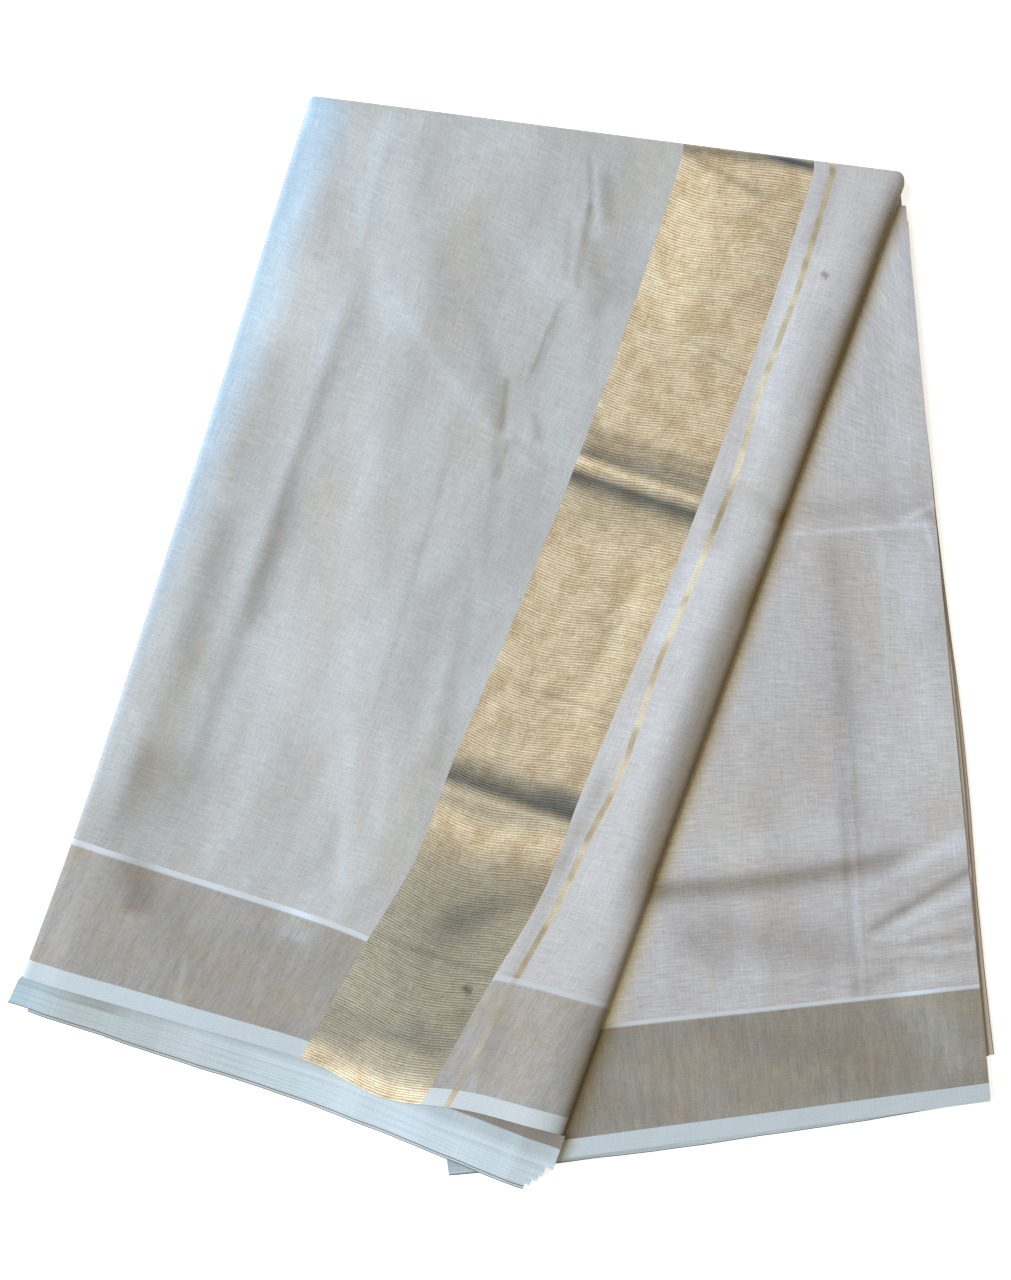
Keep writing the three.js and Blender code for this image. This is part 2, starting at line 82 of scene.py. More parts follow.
ROLL_TURN, FOLD_TURN = 2.2, 2.6  # radians that the cloth goes round a roll and the fold
CREASE_FADE = 16  # creases fade in over this length from a turned edge
STROKE_FADE = 0.2  # share of a stroke's length over which it comes and goes
CROWN, CROWN_WIDTH, CROWN_START = 0.9, 24, 40  # the pressed stack rises away from its rolls
ROLL_DROP, DROP_WIDTH = 1.3, 18  # and sinks towards them
LAYER_PITCH, LAYER_SIZE = 1.15, 0.35  # of the folds up the sides of the hidden layers


# %% Small helpers for arrays of points
def lerp(a, b, t):
    """Straight blend from a to b."""
    return a + (b - a) * t


def smooth(x):
    """0 below 0, 1 above 1, and an S-curve 3x^2 - 2x^3 between them."""
    x = np.clip(x, 0, 1)
    return x * x * (3 - 2 * x)


def unit(v):
    """The vector divided by its own length."""
    return v / np.linalg.norm(v, axis=-1, keepdims=True)


def distance(a, b):
    """Length of b - a."""
    return np.linalg.norm(b - a, axis=-1)


def left_of(v):
    """The vector turned a quarter turn to its left, (-y, x)."""
    return np.array([-v[1], v[0]])


def reach(start, degrees, length):
    """The end of a line from start, leaning so many degrees to the right of straight down."""
    angle = math.radians(degrees)
    return start + length * np.array([math.sin(angle), -math.cos(angle)])


# %% The corners of both halves
fold_end = FOLD_START + FOLD_LENGTH * np.array(
    [math.cos(math.radians(FOLD_SLOPE)), -math.sin(math.radians(FOLD_SLOPE))]
)
upper_left_end = reach(FOLD_START, *UPPER_LEFT)
upper_right_end = reach(fold_end, *UPPER_RIGHT)
lower_left_end = reach(FOLD_START, *LOWER_LEFT)
lower_right_end = reach(fold_end, *LOWER_RIGHT)

along_fold = unit(fold_end - FOLD_START)
past_fold = left_of(along_fold)
along_bottom = unit(upper_right_end - upper_left_end)
upper_left_line = unit(upper_left_end - FOLD_START)
upper_right_line = unit(upper_right_end - fold_end)
lower_left_line = unit(lower_left_end - FOLD_START)
lower_right_line = unit(lower_right_end - fold_end)


def below_fold(corner, line):
    """The point on a long edge that is one fold radius in from the top fold."""
    return corner - line * HALF / line.dot(past_fold)


crest_top_left = below_fold(FOLD_START, upper_left_line) + along_fold * ROLL_RADIUS
crest_top_right = below_fold(fold_end, upper_right_line) - along_fold * ROLL_RADIUS
crest_bottom_left = upper_left_end + along_bottom * ROLL_RADIUS
crest_bottom_right = upper_right_end - along_bottom * ROLL_RADIUS
print("upper half's corners, mm:", crest_top_left.round(), crest_bottom_right.round())

# %% [markdown]
# ## Creases
# Pressed cotton keeps soft streaks where it lay folded before, sharp little wrinkles where it
# was gathered, and ridges where the stiff gold band refused to bend. A bump map could paint
# them, but they catch the light from the side because they are real shapes, so they are heights
# added to the surface. Each is a stroke, and a stroke is a row of numbers: x and y of its start, x and y
# of its end, its height, its width, and where they are needed its width to the right of its way
# and its bow. With two widths, a fold that leans over is steep on one side and soft on the other.


# %% One stroke, and a field of them
def stroke(points, x0, y0, x1, y1, amount, width, width_right=None, bow=0.0):
    """What one stroke adds at each point: amount * exp(-(distance / width)^2) * fade, where the
    distance is measured sideways from a line bowed as 4t(1-t), with the second width right of the
    way it runs, and fade rises over the first fifth of the line and falls over the last."""
    start = np.array([x0, y0])
    run = np.array([x1, y1]) - start
    t = (points - start) @ run / run.dot(run)
    side = (points - start) @ unit(left_of(run)) - bow * 4 * t * (1 - t)
    spread = np.where(side > 0, width, width_right or width)
    fade = smooth(t / STROKE_FADE) * smooth((1 - t) / STROKE_FADE)
    return amount * fade * np.exp(-((side / spread) ** 2))


def relief(points, strokes):
    """Sum of strokes, each a row of numbers in the order in which stroke takes them."""
    total = np.zeros(points.shape[:-1])
    for numbers in strokes:
        total += stroke(points, *numbers)
    return total


UPPER_CREASES = [
    # soft streaks where the cloth lay folded before, top to bottom
    (-59, 312, -101, 96, -1.1, 15), (-92, 130, -188, -90, -1.3, 17),
    (-62, 320, -86, 226, 0.8, 5, 9), (-72, 247, -182, -34, 0.7, 6, 9),
    (-20, 300, -30, 60, 0.5, 14, 20), (-130, 210, -150, 70, 0.45, 12, 18),
    (-70, 150, -93, -28, 0.6, 10, 16), (-80, -40, -95, -155, 0.5, 8, 14),
    (-150, 20, -180, -130, 0.4, 12, 20), (-120, -20, -100, -170, -0.45, 14, 20),
    # sharp wrinkles gathered beside the band
    (55, 262, 44, 204, 0.4, 1.8, 3.0), (44, 216, 17, 150, 0.7, 1.8, 3.0),
    (52, 300, 52, 240, 0.3, 1.8, 2.2), (58, 300, 58, 236, 0.3, 1.8, 2.2),
    (64, 300, 60, 246, 0.25, 1.8, 2.2), (44, 252, 40, 214, 0.3, 1.8, 2.2),
    (-70, 214, 3, 114, 0.4, 4, 7), (1, 176, 0, 96, -0.7, 3.5), (-5, 132, 34, 108, -0.5, 3.0),
    (3, 122, 30, 98, 0.5, 2.4), (-22, 134, -77, -54, -0.35, 2.4, 5), (-13, 43, -40, -93, -0.4, 5),
    # nicks in the left edge
    (-160, 196, -140, 190, -0.6, 2.5), (-216, -28, -198, -30, -0.6, 2.5),
    # ridges and creases across the stiff band
    (34, 112, 134, 76, 1.8, 5.5, 2.2), (34, 104, 132, 64, -0.9, 7.0, 5.0),
    (-48, -81, 56, -114, 1.6, 5.0, 2.0), (-52, -68, 58, -102, -0.9, 9.0, 4.0),
    (107, 178, 156, 160, 0.35, 2.0, 1.2), (-2, -28, 90, -56, 0.3, 1.6, 1.0),
    (110, 290, 150, 268, -0.7, 3.5, 5.0), (136, 296, 206, 272, -0.6, 2.5),
    (-82, -169, 12, -202, 0.3, 1.6, 1.2), (-106, -211, -23, -239, -0.9, 7.0),
    (-118, -236, -26, -266, 0.7, 6.0),
    # the end piece's own swells
    (156, 80, 58, -200, 0.6, 14, 12), (186, 202, 139, 72, 0.4, 8, 10),
    (201, 202, 175, 131, -0.4, 9),
]
LOWER_CREASES = [
    (198, 80, 215, -150, -0.5, 8, 6), (206, -34, 219, -236, 0.5, 1.8, 3.0),
    (161, 64, 268, 71, 0.7, 2.0, 4.0), (167, 78, 270, 84, -0.6, 5.0), (240, 72, 266, 86, 0.8, 2.0),
    (254, 73, 259, 52, 0.5, 2.0), (60, -148, 262, -121, -1.5, 6, 9, -7),
    (110, -128, 225, -104, 0.5, 8, 12), (206, -158, 286, -113, 1.0, 6),
    (212, -176, 296, -126, -0.9, 4), (228, -173, 297, -141, 0.9, 4),
    (216, -183, 298, -171, -0.5, 3), (236, 190, 250, 60, 0.4, 8), (217, 210, 219, 61, 0.4, 7),
    (238, -206, 283, -257, 0.5, 10),
]
print("creases by hand:", len(UPPER_CREASES) + len(LOWER_CREASES))


# %% The unevenness that pressed cotton keeps
def unevenness(points, seed, length, size, count=14):
    """Sum of sine waves in all directions, each about one length long, with seeded phases."""
    draw = np.random.default_rng(seed)
    total = np.zeros(points.shape[:-1])
    for turn, stretch, phase in draw.uniform(0, 1, (count, 3)):
        wave = 2 * math.pi / (length * (0.6 + stretch))
        way = np.array([math.cos(2 * math.pi * turn), math.sin(2 * math.pi * turn)])
        total += np.sin(points @ way * wave + 2 * math.pi * phase)
    return size * total / math.sqrt(count)


def pressed(points, creases, seed):
    """All of a panel's heights above its flat top: creases, slow waves and small crumples."""
    return (
        relief(points, creases)
        + unevenness(points, seed, 130, 0.28)
        + unevenness(points, seed + 1, 42, 0.09)
        + unevenness(points, seed + 2, 13, 0.022)
    )


# %% [markdown]
# ## The upper half's surface
# The upper half is one sheet that lies on the lower half, slopes down to the table on its left,
# rolls under at both sides and turns over at the top fold. It has two parameters: how far
# across from the left roll to the right one, and how far down from the fold to the edge.


# %% Seen from above
def upper_plan(across, down):
    """Blend of the four crest corners; the left edge bows out by a square law near its end."""
    a, d = across[..., None], down[..., None]
    point = lerp(
        lerp(crest_top_left, crest_bottom_left, d),
        lerp(crest_top_right, crest_bottom_right, d),
        a,
    )
    bow = LEFT_BOW * (np.maximum(d - LEFT_BOW_FROM, 0) / (1 - LEFT_BOW_FROM)) ** 2
    return point - bow * (1 - a) ** 2 * np.array([1, 0])


def upper_length(across):
    """Distance from the fold to the chord of the bottom edge, at a place across."""
    return distance(upper_plan(across, np.zeros_like(across)), upper_plan(across, np.ones_like(across)))


def upper_width(down):
    """Distance between the two rolls' crests, at a place down."""
    return distance(upper_plan(np.zeros_like(down), down), upper_plan(np.ones_like(down), down))


def upper_edge(across):
    """Where the cloth ends: the chord, plus a bulge exp(-x^2) where the stiff band hangs out."""
    away = (across - BULGE_AT) / BULGE_WIDTH
    return 1 + BULGE * np.exp(-away * away) / upper_length(across)


# %% Its height, and its turned edges
LEFT_LENGTH = float(upper_length(np.zeros(1))[0])


def support_height(plan, down):
    """The lower half's top, and left of that an S-curve down to the table."""
    inside = (plan - FOLD_START) @ left_of(lower_left_line)
    rise = smooth((inside + BRIDGE) / (BRIDGE + BRIDGE_LAP))
    hold = smooth(down * LEFT_LENGTH / FOLD_HOLD)
    return HALF * lerp(1, rise, hold)


def upper_flat(across, down, depth):
    """A point of the cloth with no roll or fold: plan, support, half and creases, less a depth."""
    plan = upper_plan(across, down)
    inner = np.clip(across, 0, 1)
    from_side = np.minimum(inner, 1 - inner) * upper_width(down)
    from_fold = down * upper_length(across)
    fade = smooth(from_fold / CREASE_FADE) * smooth(from_side / CREASE_FADE)
    swell = CROWN * smooth(from_side / CROWN_WIDTH) - ROLL_DROP * (1 - smooth(from_side / DROP_WIDTH))
    height = support_height(plan, down) + HALF - depth + swell * smooth(from_fold / CROWN_START)
    height = height + fade * pressed(plan, UPPER_CREASES, seed=3)
    return np.dstack([plan, height])


def upper_point(across, down, depth):
    """The whole sheet. Across below 0 or above 1 is an angle round a side roll, and down below 0
    is an angle round the top fold: each point moves out by radius * sin(angle) and drops by
    radius * (1 - cos(angle)), and the fold does the same with what the roll left over."""
    roll = np.maximum(-across, 0) + np.maximum(across - 1, 0)
    side = np.where(across < 0, -1, 1)
    turn = np.maximum(-down, 0)
    a, d = np.clip(across, 0, 1), np.maximum(down, 0)
    point = upper_flat(a, d, depth)
    outwards = unit(upper_plan(np.ones_like(d), d) - upper_plan(np.zeros_like(d), d))
    radius = ROLL_RADIUS - depth
    drop = radius * (1 - np.cos(roll))
    point[..., :2] += outwards * (side * radius * np.sin(roll))[..., None]
    arm = HALF - depth - drop
    folded = turn > 0
    point[..., :2] += past_fold * np.where(folded, arm * np.sin(turn), 0)[..., None]
    point[..., 2] = np.where(folded, HALF + arm * np.cos(turn), point[..., 2] - drop)
    return point


# %% [markdown]
# ## Lines woven into the cloth
# The band, the borders and the selvedges are woven in, so they are places on one surface and not
# pieces laid on it. One grid runs over the whole upper half, with its lines of points on the
# woven lines, and each stretch is cut out of that grid. Neighbours then share their edge points
# exactly, and no gap shows.


# %% The grid of the upper half
BAND_BOW, BAND_BOW_AT, BAND_BOW_LENGTH = 5, 0.77, 0.08  # a bend to the right below the last ridge


def drift(down):
    """How far the band has moved left: it grows by the square of down, but for a bend back of
    bow * exp(-((down - place) / length)^2)."""
    bend = BAND_BOW * np.exp(-(((down - BAND_BOW_AT) / BAND_BOW_LENGTH) ** 2))
    return BAND_DRIFT * down**2 - bend


def band_left(down):
    """The band's left line, as a share of the width."""
    return (BAND_START - drift(down)) / upper_width(down)


def band_right(down):
    """The band's right line."""
    return (BAND_START + BAND_WIDTH - drift(down)) / upper_width(down)


def upper_border(across):
    """Height of the border and selvedge together: it leans up between the band and the left roll."""
    return UPPER_BORDER + BORDER_LEAN * np.clip(1 - across / band_left(np.ones(1)), 0, 1)


def zones(value, lines):
    """Value 0 to 1 runs between the first two lines, 1 to 2 between the next two, and so on."""
    index = np.clip(np.floor(value), 0, len(lines) - 2)
    low, high = np.zeros_like(value), np.zeros_like(value)
    for i in range(len(lines) - 1):
        low = np.where(index == i, lines[i], low)
        high = np.where(index == i, lines[i + 1], high)
    return lerp(low, high, value - index)


def upper_place(column, row):
    """Share across and down of a grid place. The woven lines lean on each other, so the two
    shares are found together, in a few passes."""
    c, r = np.clip(column, 0, 3), np.clip(row, 0, 3)
    across, down = c / 3, r / 3
    for _ in range(6):
        edge, length = upper_edge(across), upper_length(across)
        down = zones(r, [0 * r, edge - upper_border(across) / length, edge - SELVEDGE / length, edge])
        across = zones(c, [0 * c, band_left(down), band_right(down), 0 * c + 1])
    return across, down


def upper_sheet(column, row, depth):
    """The point at a grid place. Columns below 0 or above 3 are angles round a roll, and rows
    below 0 are angles round the fold."""
    across, down = upper_place(column, row)
    across = np.where(column < 0, column, np.where(column > 3, column - 2, across))
    return upper_point(across, np.where(row < 0, row, down), depth)


def upper_woven(column, row):
    """Where that place is in the cloth before it was folded: mm from the left roll, with the
    lines' drift taken out, and mm from the bottom edge."""
    across, down = upper_place(column, row)
    u = across * upper_width(down) + drift(down)
    u = u + ROLL_RADIUS * (np.minimum(column, 0) + np.maximum(column - 3, 0))
    v = (upper_edge(across) - down) * upper_length(across) - HALF * np.minimum(row, 0)
    return np.dstack([u, v * UPPER_BORDER / upper_border(across)])


def joined(*parts):
    """The parts one after another, with no number twice."""
    return np.unique(np.round(np.concatenate(parts), 9))


roll_angles = np.linspace(0, ROLL_TURN, 10)
UPPER_COLUMNS = joined(
    -roll_angles,
    np.linspace(0, 1, 131),
    np.linspace(1, 2, 53),
    np.linspace(2, 3, 41),
    3 + roll_angles,
)
UPPER_ROWS = joined(
    -np.linspace(0, FOLD_TURN, 13),
    np.linspace(0, 1, 321),
    np.linspace(1, 2, 49),
    np.linspace(2, 3, 8),
)
print("upper grid:", len(UPPER_COLUMNS), "by", len(UPPER_ROWS))

# %% [markdown]
# ## Light and dark streaks
# Thin cotton shows what lies under it: folds of the layers below draw cool light streaks and grey
# dark ones through it, as the cloth's own tone. Other streaks are painted light: painted highlights
# and painted shade along creases and wrinkles, on the gold band a painted highlight on one side of
# a ridge and painted brown shade on the other, painted shade on the way round the right roll, and
# painted shadow where the upper half lies over the lower. A noise would put such streaks anywhere.
# They are strokes like the creases, listed one by one, kept as a number at each point of the mesh,
# which the finishes read as lighter, darker or warmer.

# %% Tones by piece
# Painted shade on the way down to the right roll, in three strokes that follow one another.
ROLL_SHADE = (251, 305, 144, 7, -0.72, 10, 8)  # on the way down to the right roll
ROLL_SHADE_LOW = (164, 62, 78, -178, -0.68, 10, 14)
ROLL_SHADE_END = (97, -125, 1, -393, -0.5, 10, 9)
# Painted warm light in the shade where the lower half meets the right roll.
PAINTED_WARM_FOOT = (294, 430, 2, -396, 1.0, 7)  # where the lower half meets it, in warm light

TONES_AND_PAINTED_LIGHT = {
    "upper_body": [
        # what shows through from below, and painted highlights and painted shade along the soft creases,
        # light and then dark
        (-72, 335, -122, 150, 0.1, 28), (-60, 325, -88, 223, 0.16, 5.3),
        (-97, 329, -118, 238, 0.08, 14), (-72, 247, -182, -34, 0.13, 4.7),
        (-73, 241, -66, 176, 0.09, 7), (-70, 214, 3, 114, 0.11, 4.7),
        (-75, 149, -93, -28, 0.08, 9.5), (-26, 285, 42, 190, 0.07, 8.5),
        (-22, 31, -47, -57, 0.06, 5.3), (-87, -51, -95, -155, 0.12, 5.3),
        (-66, -51, -72, -122, 0.07, 4.7), (-44, -87, -59, -155, 0.05, 4.7),
        (-168, -87, -177, -140, 0.05, 4.7), (-73, 244, -200, -128, -0.17, 7, 4.7),
        (-113, 114, -147, -4, -0.1, 9.5), (-158, 13, -200, -128, -0.06, 9.5),
        (-95, 273, -109, 220, -0.1, 9.5), (-138, 190, -159, 84, -0.09, 12),
        (-159, 84, -188, -34, -0.12, 9.5), (-197, -16, -218, -93, -0.06, 9.5),
        (-205, -51, -238, -140, -0.11, 7), (-56, 190, -47, 72, -0.06, 19),
        (-47, 314, -32, 179, -0.1, 14), (74, 308, 62, 190, -0.08, 14),
        (-13, 43, -40, -93, -0.11, 5.3), (-126, -34, -138, -152, -0.05, 14),
        # painted shade and painted highlights along the gathered wrinkles
        (-22, 134, -77, -54, -0.11, 2.4), (-14, 202, 6, 105, -0.1, 5.3),
        (5, 160, 1, 122, -0.3, 2.2, 3), (6, 122, -3, 94, -0.18, 3), (-1, 126, -9, 25, -0.08, 3.5),
        (54, 262, 49, 234, -0.28, 1.8), (50, 240, 44, 208, -0.16, 2),
        (38, 206, 16, 152, -0.32, 1.6), (44, 214, 36, 190, 0.12, 1.8),
        (57, 290, 59, 236, 0.14, 1.6), (53, 290, 54, 250, -0.14, 1.6),
        (46, 262, 42, 214, 0.08, 1.8), (42, 254, 38, 212, -0.14, 2.2),
        (62, 280, 66, 244, -0.16, 4.5), (54, 240, 56, 212, -0.14, 4.5), (20, 138, 24, 116, -0.2, 3),
        (5, 128, 6, 120, 0.14, 2.4), (66, 216, 54, 190, -0.1, 6),
        # wide shades beside the left roll
        (-135, 170, -225, -150, -0.14, 18), (-190, -50, -238, -175, -0.16, 22),
        (-125, 95, -150, 0, -0.1, 6), (-97, -95, -103, -165, -0.08, 8), (-71, 80, -76, 18, 0.08, 7),
        (-170, 30, -182, -40, 0.08, 6),
    ],
    "upper_gold_band": [
        # painted shade of the fold, and painted highlights and shade of the creases below it
        (70, 300, 240, 275, -0.6, 5), (136, 298, 219, 268, -0.35, 3), (104, 293, 163, 259, -0.3, 3),
        (127, 297, 92, 173, 0.26, 16.5), (180, 267, 151, 179, -0.1, 13),
        (107, 180, 163, 149, -0.22, 1.7),
        # first ridge: painted shade, a painted highlight along it, painted shade
        (27, 133, 170, 88, -0.3, 4), (27, 123, 170, 80, -0.5, 4.7), (27, 120, 145, 80, -0.35, 2.2),
        (27, 114, 145, 74, 0.3, 1.5), (7, 112, 165, 59, -0.75, 3.5, 7.5),
        # between the ridges: a painted highlight, and thin painted shade along a small crease
        (104, 67, 30, -81, 0.24, 8.3), (71, 43, 51, -28, -0.08, 8.3),
        (12, -24, 107, -57, -0.22, 1.6), (12, -32, 107, -65, -0.16, 1.6),
        # second ridge: painted shade, and painted highlights along it
        (-60, -58, 85, -104, -0.2, 7), (20, -84, 90, -112, -0.2, 6),
        (-73, -64, 85, -116, -0.68, 9, 3.5), (-59, -79, 71, -117, 0.3, 1.8, 3),
        (-59, -90, 71, -126, 0.12, 3.5, 10.6),
        # below it, down to the cut edge: mostly painted shade, a row of stitches, and a painted highlight
        # where the edge curls down
        (-14, -110, -73, -234, -0.18, 32), (16, -118, -30, -175, -0.12, 14),
        (-118, -222, -78, -240, -0.25, 7), (-25, -212, -5, -248, -0.2, 8),
        (54, -133, -47, -175, -0.24, 9.5), (-82, -169, 12, -202, -0.2, 1.7),
        (-106, -216, -23, -246, -0.3, 7), (-59, -221, -11, -244, -0.2, 5.3),
        (-123, -248, -20, -276, 0.3, 3.5, 8.8), (-100, -250, -16, -268, 0.25, 6),
        (-22, -202, -16, -207, -0.6, 2.4),
    ],
    "upper_end_piece": [
        ROLL_SHADE, ROLL_SHADE_LOW, ROLL_SHADE_END,
        # strip between the band and the thin gold line
        (199, 291, 182, 226, -0.18, 7), (177, 226, 150, 120, 0.16, 6),
        (138, 100, 123, 49, -0.15, 6), (121, 58, 89, -10, 0.13, 5.3), (67, -69, 31, -140, -0.2, 6),
        (42, -118, 0, -215, -0.16, 6),
        # past that line
        (186, 202, 139, 72, 0.1, 8.3), (142, 78, 77, -81, 0.08, 9.5),
        (201, 202, 175, 131, -0.09, 9.5), (136, 96, 177, 67, -0.1, 4.7),
        (83, -69, 51, -152, 0.05, 9.5), (190, 219, 194, 215, -0.5, 1.8),
    ],
    "upper_border_left": [
        (-213, -122, -217, -165, -0.26, 11), (-117, -152, -122, -180, 0.24, 10),
        (-170, -135, -180, -175, 0.06, 14), (-230, -122, -206, -158, -0.08, 10.6),
        (-197, -140, -182, -211, -0.09, 12), (-186, -181, -192, -217, 0.22, 1.8),
        (-177, -155, -100, -178, 0.06, 9.5), (-106, -169, -76, -228, -0.06, 14),
        (-206, -187, -218, -199, 0.06, 4.7), (-259, -122, -271, -187, 0.06, 8.3),
        (-140, -187, -144, -217, 0.08, 3),
    ],
    "upper_border_right": [
        ROLL_SHADE_END,
        (8, -198, -12, -265, -0.16, 7), (-35, -199, -44, -276, -0.14, 7),
        (-17, -205, 36, -222, 0.06, 8.3), (54, -211, 36, -270, -0.08, 12),
        (-13, -237, -17, -264, 0.1, 3.5),
    ],
    "upper_selvedge_right": [ROLL_SHADE_END],
    "lower_body": [
        # painted shadow beside the upper half's roll at the top, then light and dark streaks down the
        # wedge, some of them painted highlights and shade of its creases
        (262, 340, 190, 136, -0.4, 5), (224, 270, 246, 92, 0.18, 14), (217, 210, 219, 61, 0.05, 7),
        (235, 240, 243, 162, 0.08, 6), (179, 37, 152, -123, -0.05, 27),
        (198, 85, 213, -141, -0.18, 9), (238, 73, 262, -105, 0.12, 13),
        (226, 73, 232, -34, 0.08, 2), (206, -34, 219, -236, 0.08, 1.4),
        (203, -82, 213, -230, -0.12, 2.4), (274, -34, 289, -153, 0.06, 6),
        # painted shade and a painted highlight along a crease across, with a nick at the side
        (167, 77, 274, 84, -0.13, 6), (161, 64, 265, 71, 0.18, 1.8), (241, 72, 265, 86, 0.2, 2),
        (250, 82, 265, 67, -0.2, 2.4), (254, 73, 259, 52, 0.14, 2),
        # painted shade of a wide trough, and painted highlights and shade of ripples at the side
        (60, -148, 262, -121, -0.40, 6, 8, -7), (113, -128, 226, -106, 0.08, 8.3),
        (234, -138, 292, -110, 0.22, 6), (212, -176, 296, -126, -0.34, 3.2),
        (228, -173, 297, -141, 0.2, 4), (258, -168, 296, -152, -0.14, 2.6),
        (223, -182, 296, -155, 0.14, 3.5), (216, -183, 298, -171, -0.16, 2.5),
        (250, -186, 298, -177, 0.12, 2.5), (206, -191, 290, -185, -0.12, 2.4),
        (222, -204, 298, -194, 0.12, 3), (206, -208, 240, -194, -0.16, 5),
        (166, -100, 190, -100, 0.06, 14), (105, -172, 140, -200, -0.12, 10),
        # below the trough
        (95, -166, 225, -188, -0.2, 15), (119, -147, 119, -212, 0.06, 7),
        (136, -153, 138, -212, -0.05, 4.8), (113, -203, 226, -193, 0.06, 1.7),
        (119, -210, 226, -199, -0.06, 1.7),
    ],
    "lower_border": [
        # the first stroke is painted shadow beside the upper half's roll
        (84, -165, 19, -350, -0.32, 10, 4), (54, -248, 143, -281, 0.08, 8.3),
        (242, -196, 280, -262, 0.3, 14), (209, -212, 229, -272, -0.07, 8.3),
        (107, -230, 226, -245, -0.08, 9.5), (122, -224, 119, -278, 0.07, 9.5),
        (36, -296, 298, -260, 0.1, 6), (218, -212, 222, -269, 0.1, 1.8),
    ],
    "upper_leaf_1": [
        (-306, -205, -218, -224, -0.22, 8.3), (-259, -211, -177, -240, -0.1, 8.3),
        (-224, -217, -100, -264, 0.05, 4.7),
    ],
}
print("tone strokes:", sum(len(strokes) for strokes in TONES_AND_PAINTED_LIGHT.values()))

# %% [markdown]
# ## From a grid to a shell
# A sheet with no thickness has no edge to catch the light, so each stretch is a thin closed
# shell: the outer face, the same surface half a millimetre down, and a rim round both. The faces
# are written as whole arrays of corner numbers. The place in the flat cloth goes along as a UV
# map, because threads follow the cloth wherever it is folded.


# %% Closed shells as arrays
def quads(a, b, c, d):
    """Rows of four corners each."""
    return np.stack([a.ravel(), b.ravel(), c.ravel(), d.ravel()], axis=1)


def shell_faces(rows, columns, rings=1):
    """Faces of two grids of points, outer then inner, joined round their rims through some rings.
    Rows run down the page and columns to the right, so the outer face looks up."""
    number = np.arange(rows * columns).reshape(rows, columns)
    a, b, c, d = number[:-1, :-1], number[1:, :-1], number[1:, 1:], number[:-1, 1:]
    below = rows * columns
    rim = rim_of(number)
    faces = [quads(a, b, c, d), quads(a + below, d + below, c + below, b + below)]
    levels = [rim]
    extra = 2 * below
    for _ in range(rings - 1):
        levels.append(np.arange(extra, extra + len(rim)))
        extra += len(rim)
    levels.append(rim + below)
    for upper, lower in zip(levels[:-1], levels[1:]):
        faces.append(quads(np.roll(upper, -1), upper, lower, np.roll(lower, -1)))
    return np.concatenate(faces)


def rim_of(grid):
    """The grid's border, from its top left corner down, right, up and back."""
    return np.concatenate([grid[:-1, 0], grid[-1, :-1], grid[:0:-1, -1], grid[0, :0:-1]])


# %% From arrays to pieces
def mark(mesh, name, points, strokes):
    """Keeps the sum of the strokes at each point as an attribute that the finishes read."""
    attribute = mesh.attributes.new(name, "FLOAT", "POINT")
    attribute.data.foreach_set("value", relief(points[:, :2], strokes).astype(np.float32))


def make_mesh(name, points, faces, woven=None, sharp=40):
    """A mesh from arrays in millimetres, smooth but for edges sharper than so many degrees."""
    mesh = bpy.data.meshes.new(name)
    mesh.vertices.add(len(points))
    mesh.vertices.foreach_set("co", (points * MM).astype(np.float32).ravel())
    mesh.loops.add(faces.size)
    mesh.loops.foreach_set("vertex_index", faces.astype(np.int32).ravel())
    mesh.polygons.add(len(faces))
    starts = np.arange(0, faces.size, faces.shape[1], dtype=np.int32)
    mesh.polygons.foreach_set("loop_start", starts)
    if woven is not None:
        layer = mesh.uv_layers.new(name="cloth")
        layer.uv.foreach_set("vector", (woven[faces.ravel()] * MM).astype(np.float32).ravel())
    mesh.update(calc_edges=True)
    mesh.validate()
    mesh.polygons.foreach_set("use_smooth", np.ones(len(faces), bool))
    mesh.set_sharp_from_angle(angle=math.radians(sharp))
    return mesh


def place(name, mesh, material):
    """An object with this mesh and finish, riding on the one body that the saree has."""
    piece = bpy.data.objects.new(name, mesh)
    bpy.context.scene.collection.objects.link(piece)
    mesh.materials.append(material)
    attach(piece, "root")
    return piece


def cut_size(woven):
    """Width, length and area in metres of the flat cloth: its length is that of all sheets together."""
    area, width, length = 0.0, 0.0, 0.0
    for grid in woven:
        across = grid[1:, 1:] - grid[:-1, :-1]
        back = grid[1:, :-1] - grid[:-1, 1:]
        area += np.abs(across[..., 0] * back[..., 1] - across[..., 1] * back[..., 0]).sum() / 2 * MM * MM
        size = (grid.max((0, 1)) - grid.min((0, 1))) * MM
        width, length = max(width, size[0]), length + size[1]
    return width, length, min(area, width * length)


def cloth_piece(node, layers, material):
    """One stretch of cloth from (outer, inner, woven) grids, one set for each sheet in it."""
    name = f"{node}_cloth"
    points, faces, woven, count = [], [], [], 0
    for outer, inner, flat in layers:
        rows, columns = outer.shape[:2]
        faces.append(shell_faces(rows, columns) + count)
        points += [outer.reshape(-1, 3), inner.reshape(-1, 3)]
        woven += [flat.reshape(-1, 2)] * 2
        count += 2 * rows * columns
    points = np.concatenate(points)
    mesh = make_mesh(name, points, np.concatenate(faces), np.concatenate(woven))
    mark(mesh, "tone", points, TONES_AND_PAINTED_LIGHT.get(node, []))
    # painted warm light at the right roll's foot, on the lower half's pieces
    mark(mesh, "warmth", points, [PAINTED_WARM_FOOT] if node.startswith("lower") else [])
    piece = place(name, mesh, material)
    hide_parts(node)
    width, length, area = cut_size([flat for _, _, flat in layers])
    print(f"{name}: {len(mesh.polygons)} faces, cut {width:.3f} by {length:.3f} m")


# %% [markdown]
# ## Shader maths as expressions
# A weave is sums and products of waves and noise. Placing each Math node by hand hides the
# formula, so a small class wraps a socket and lets Python's own signs add the nodes. Everything
# else, from noise to the shader itself, goes through one method that takes a node's type, its
# settings and its inputs.


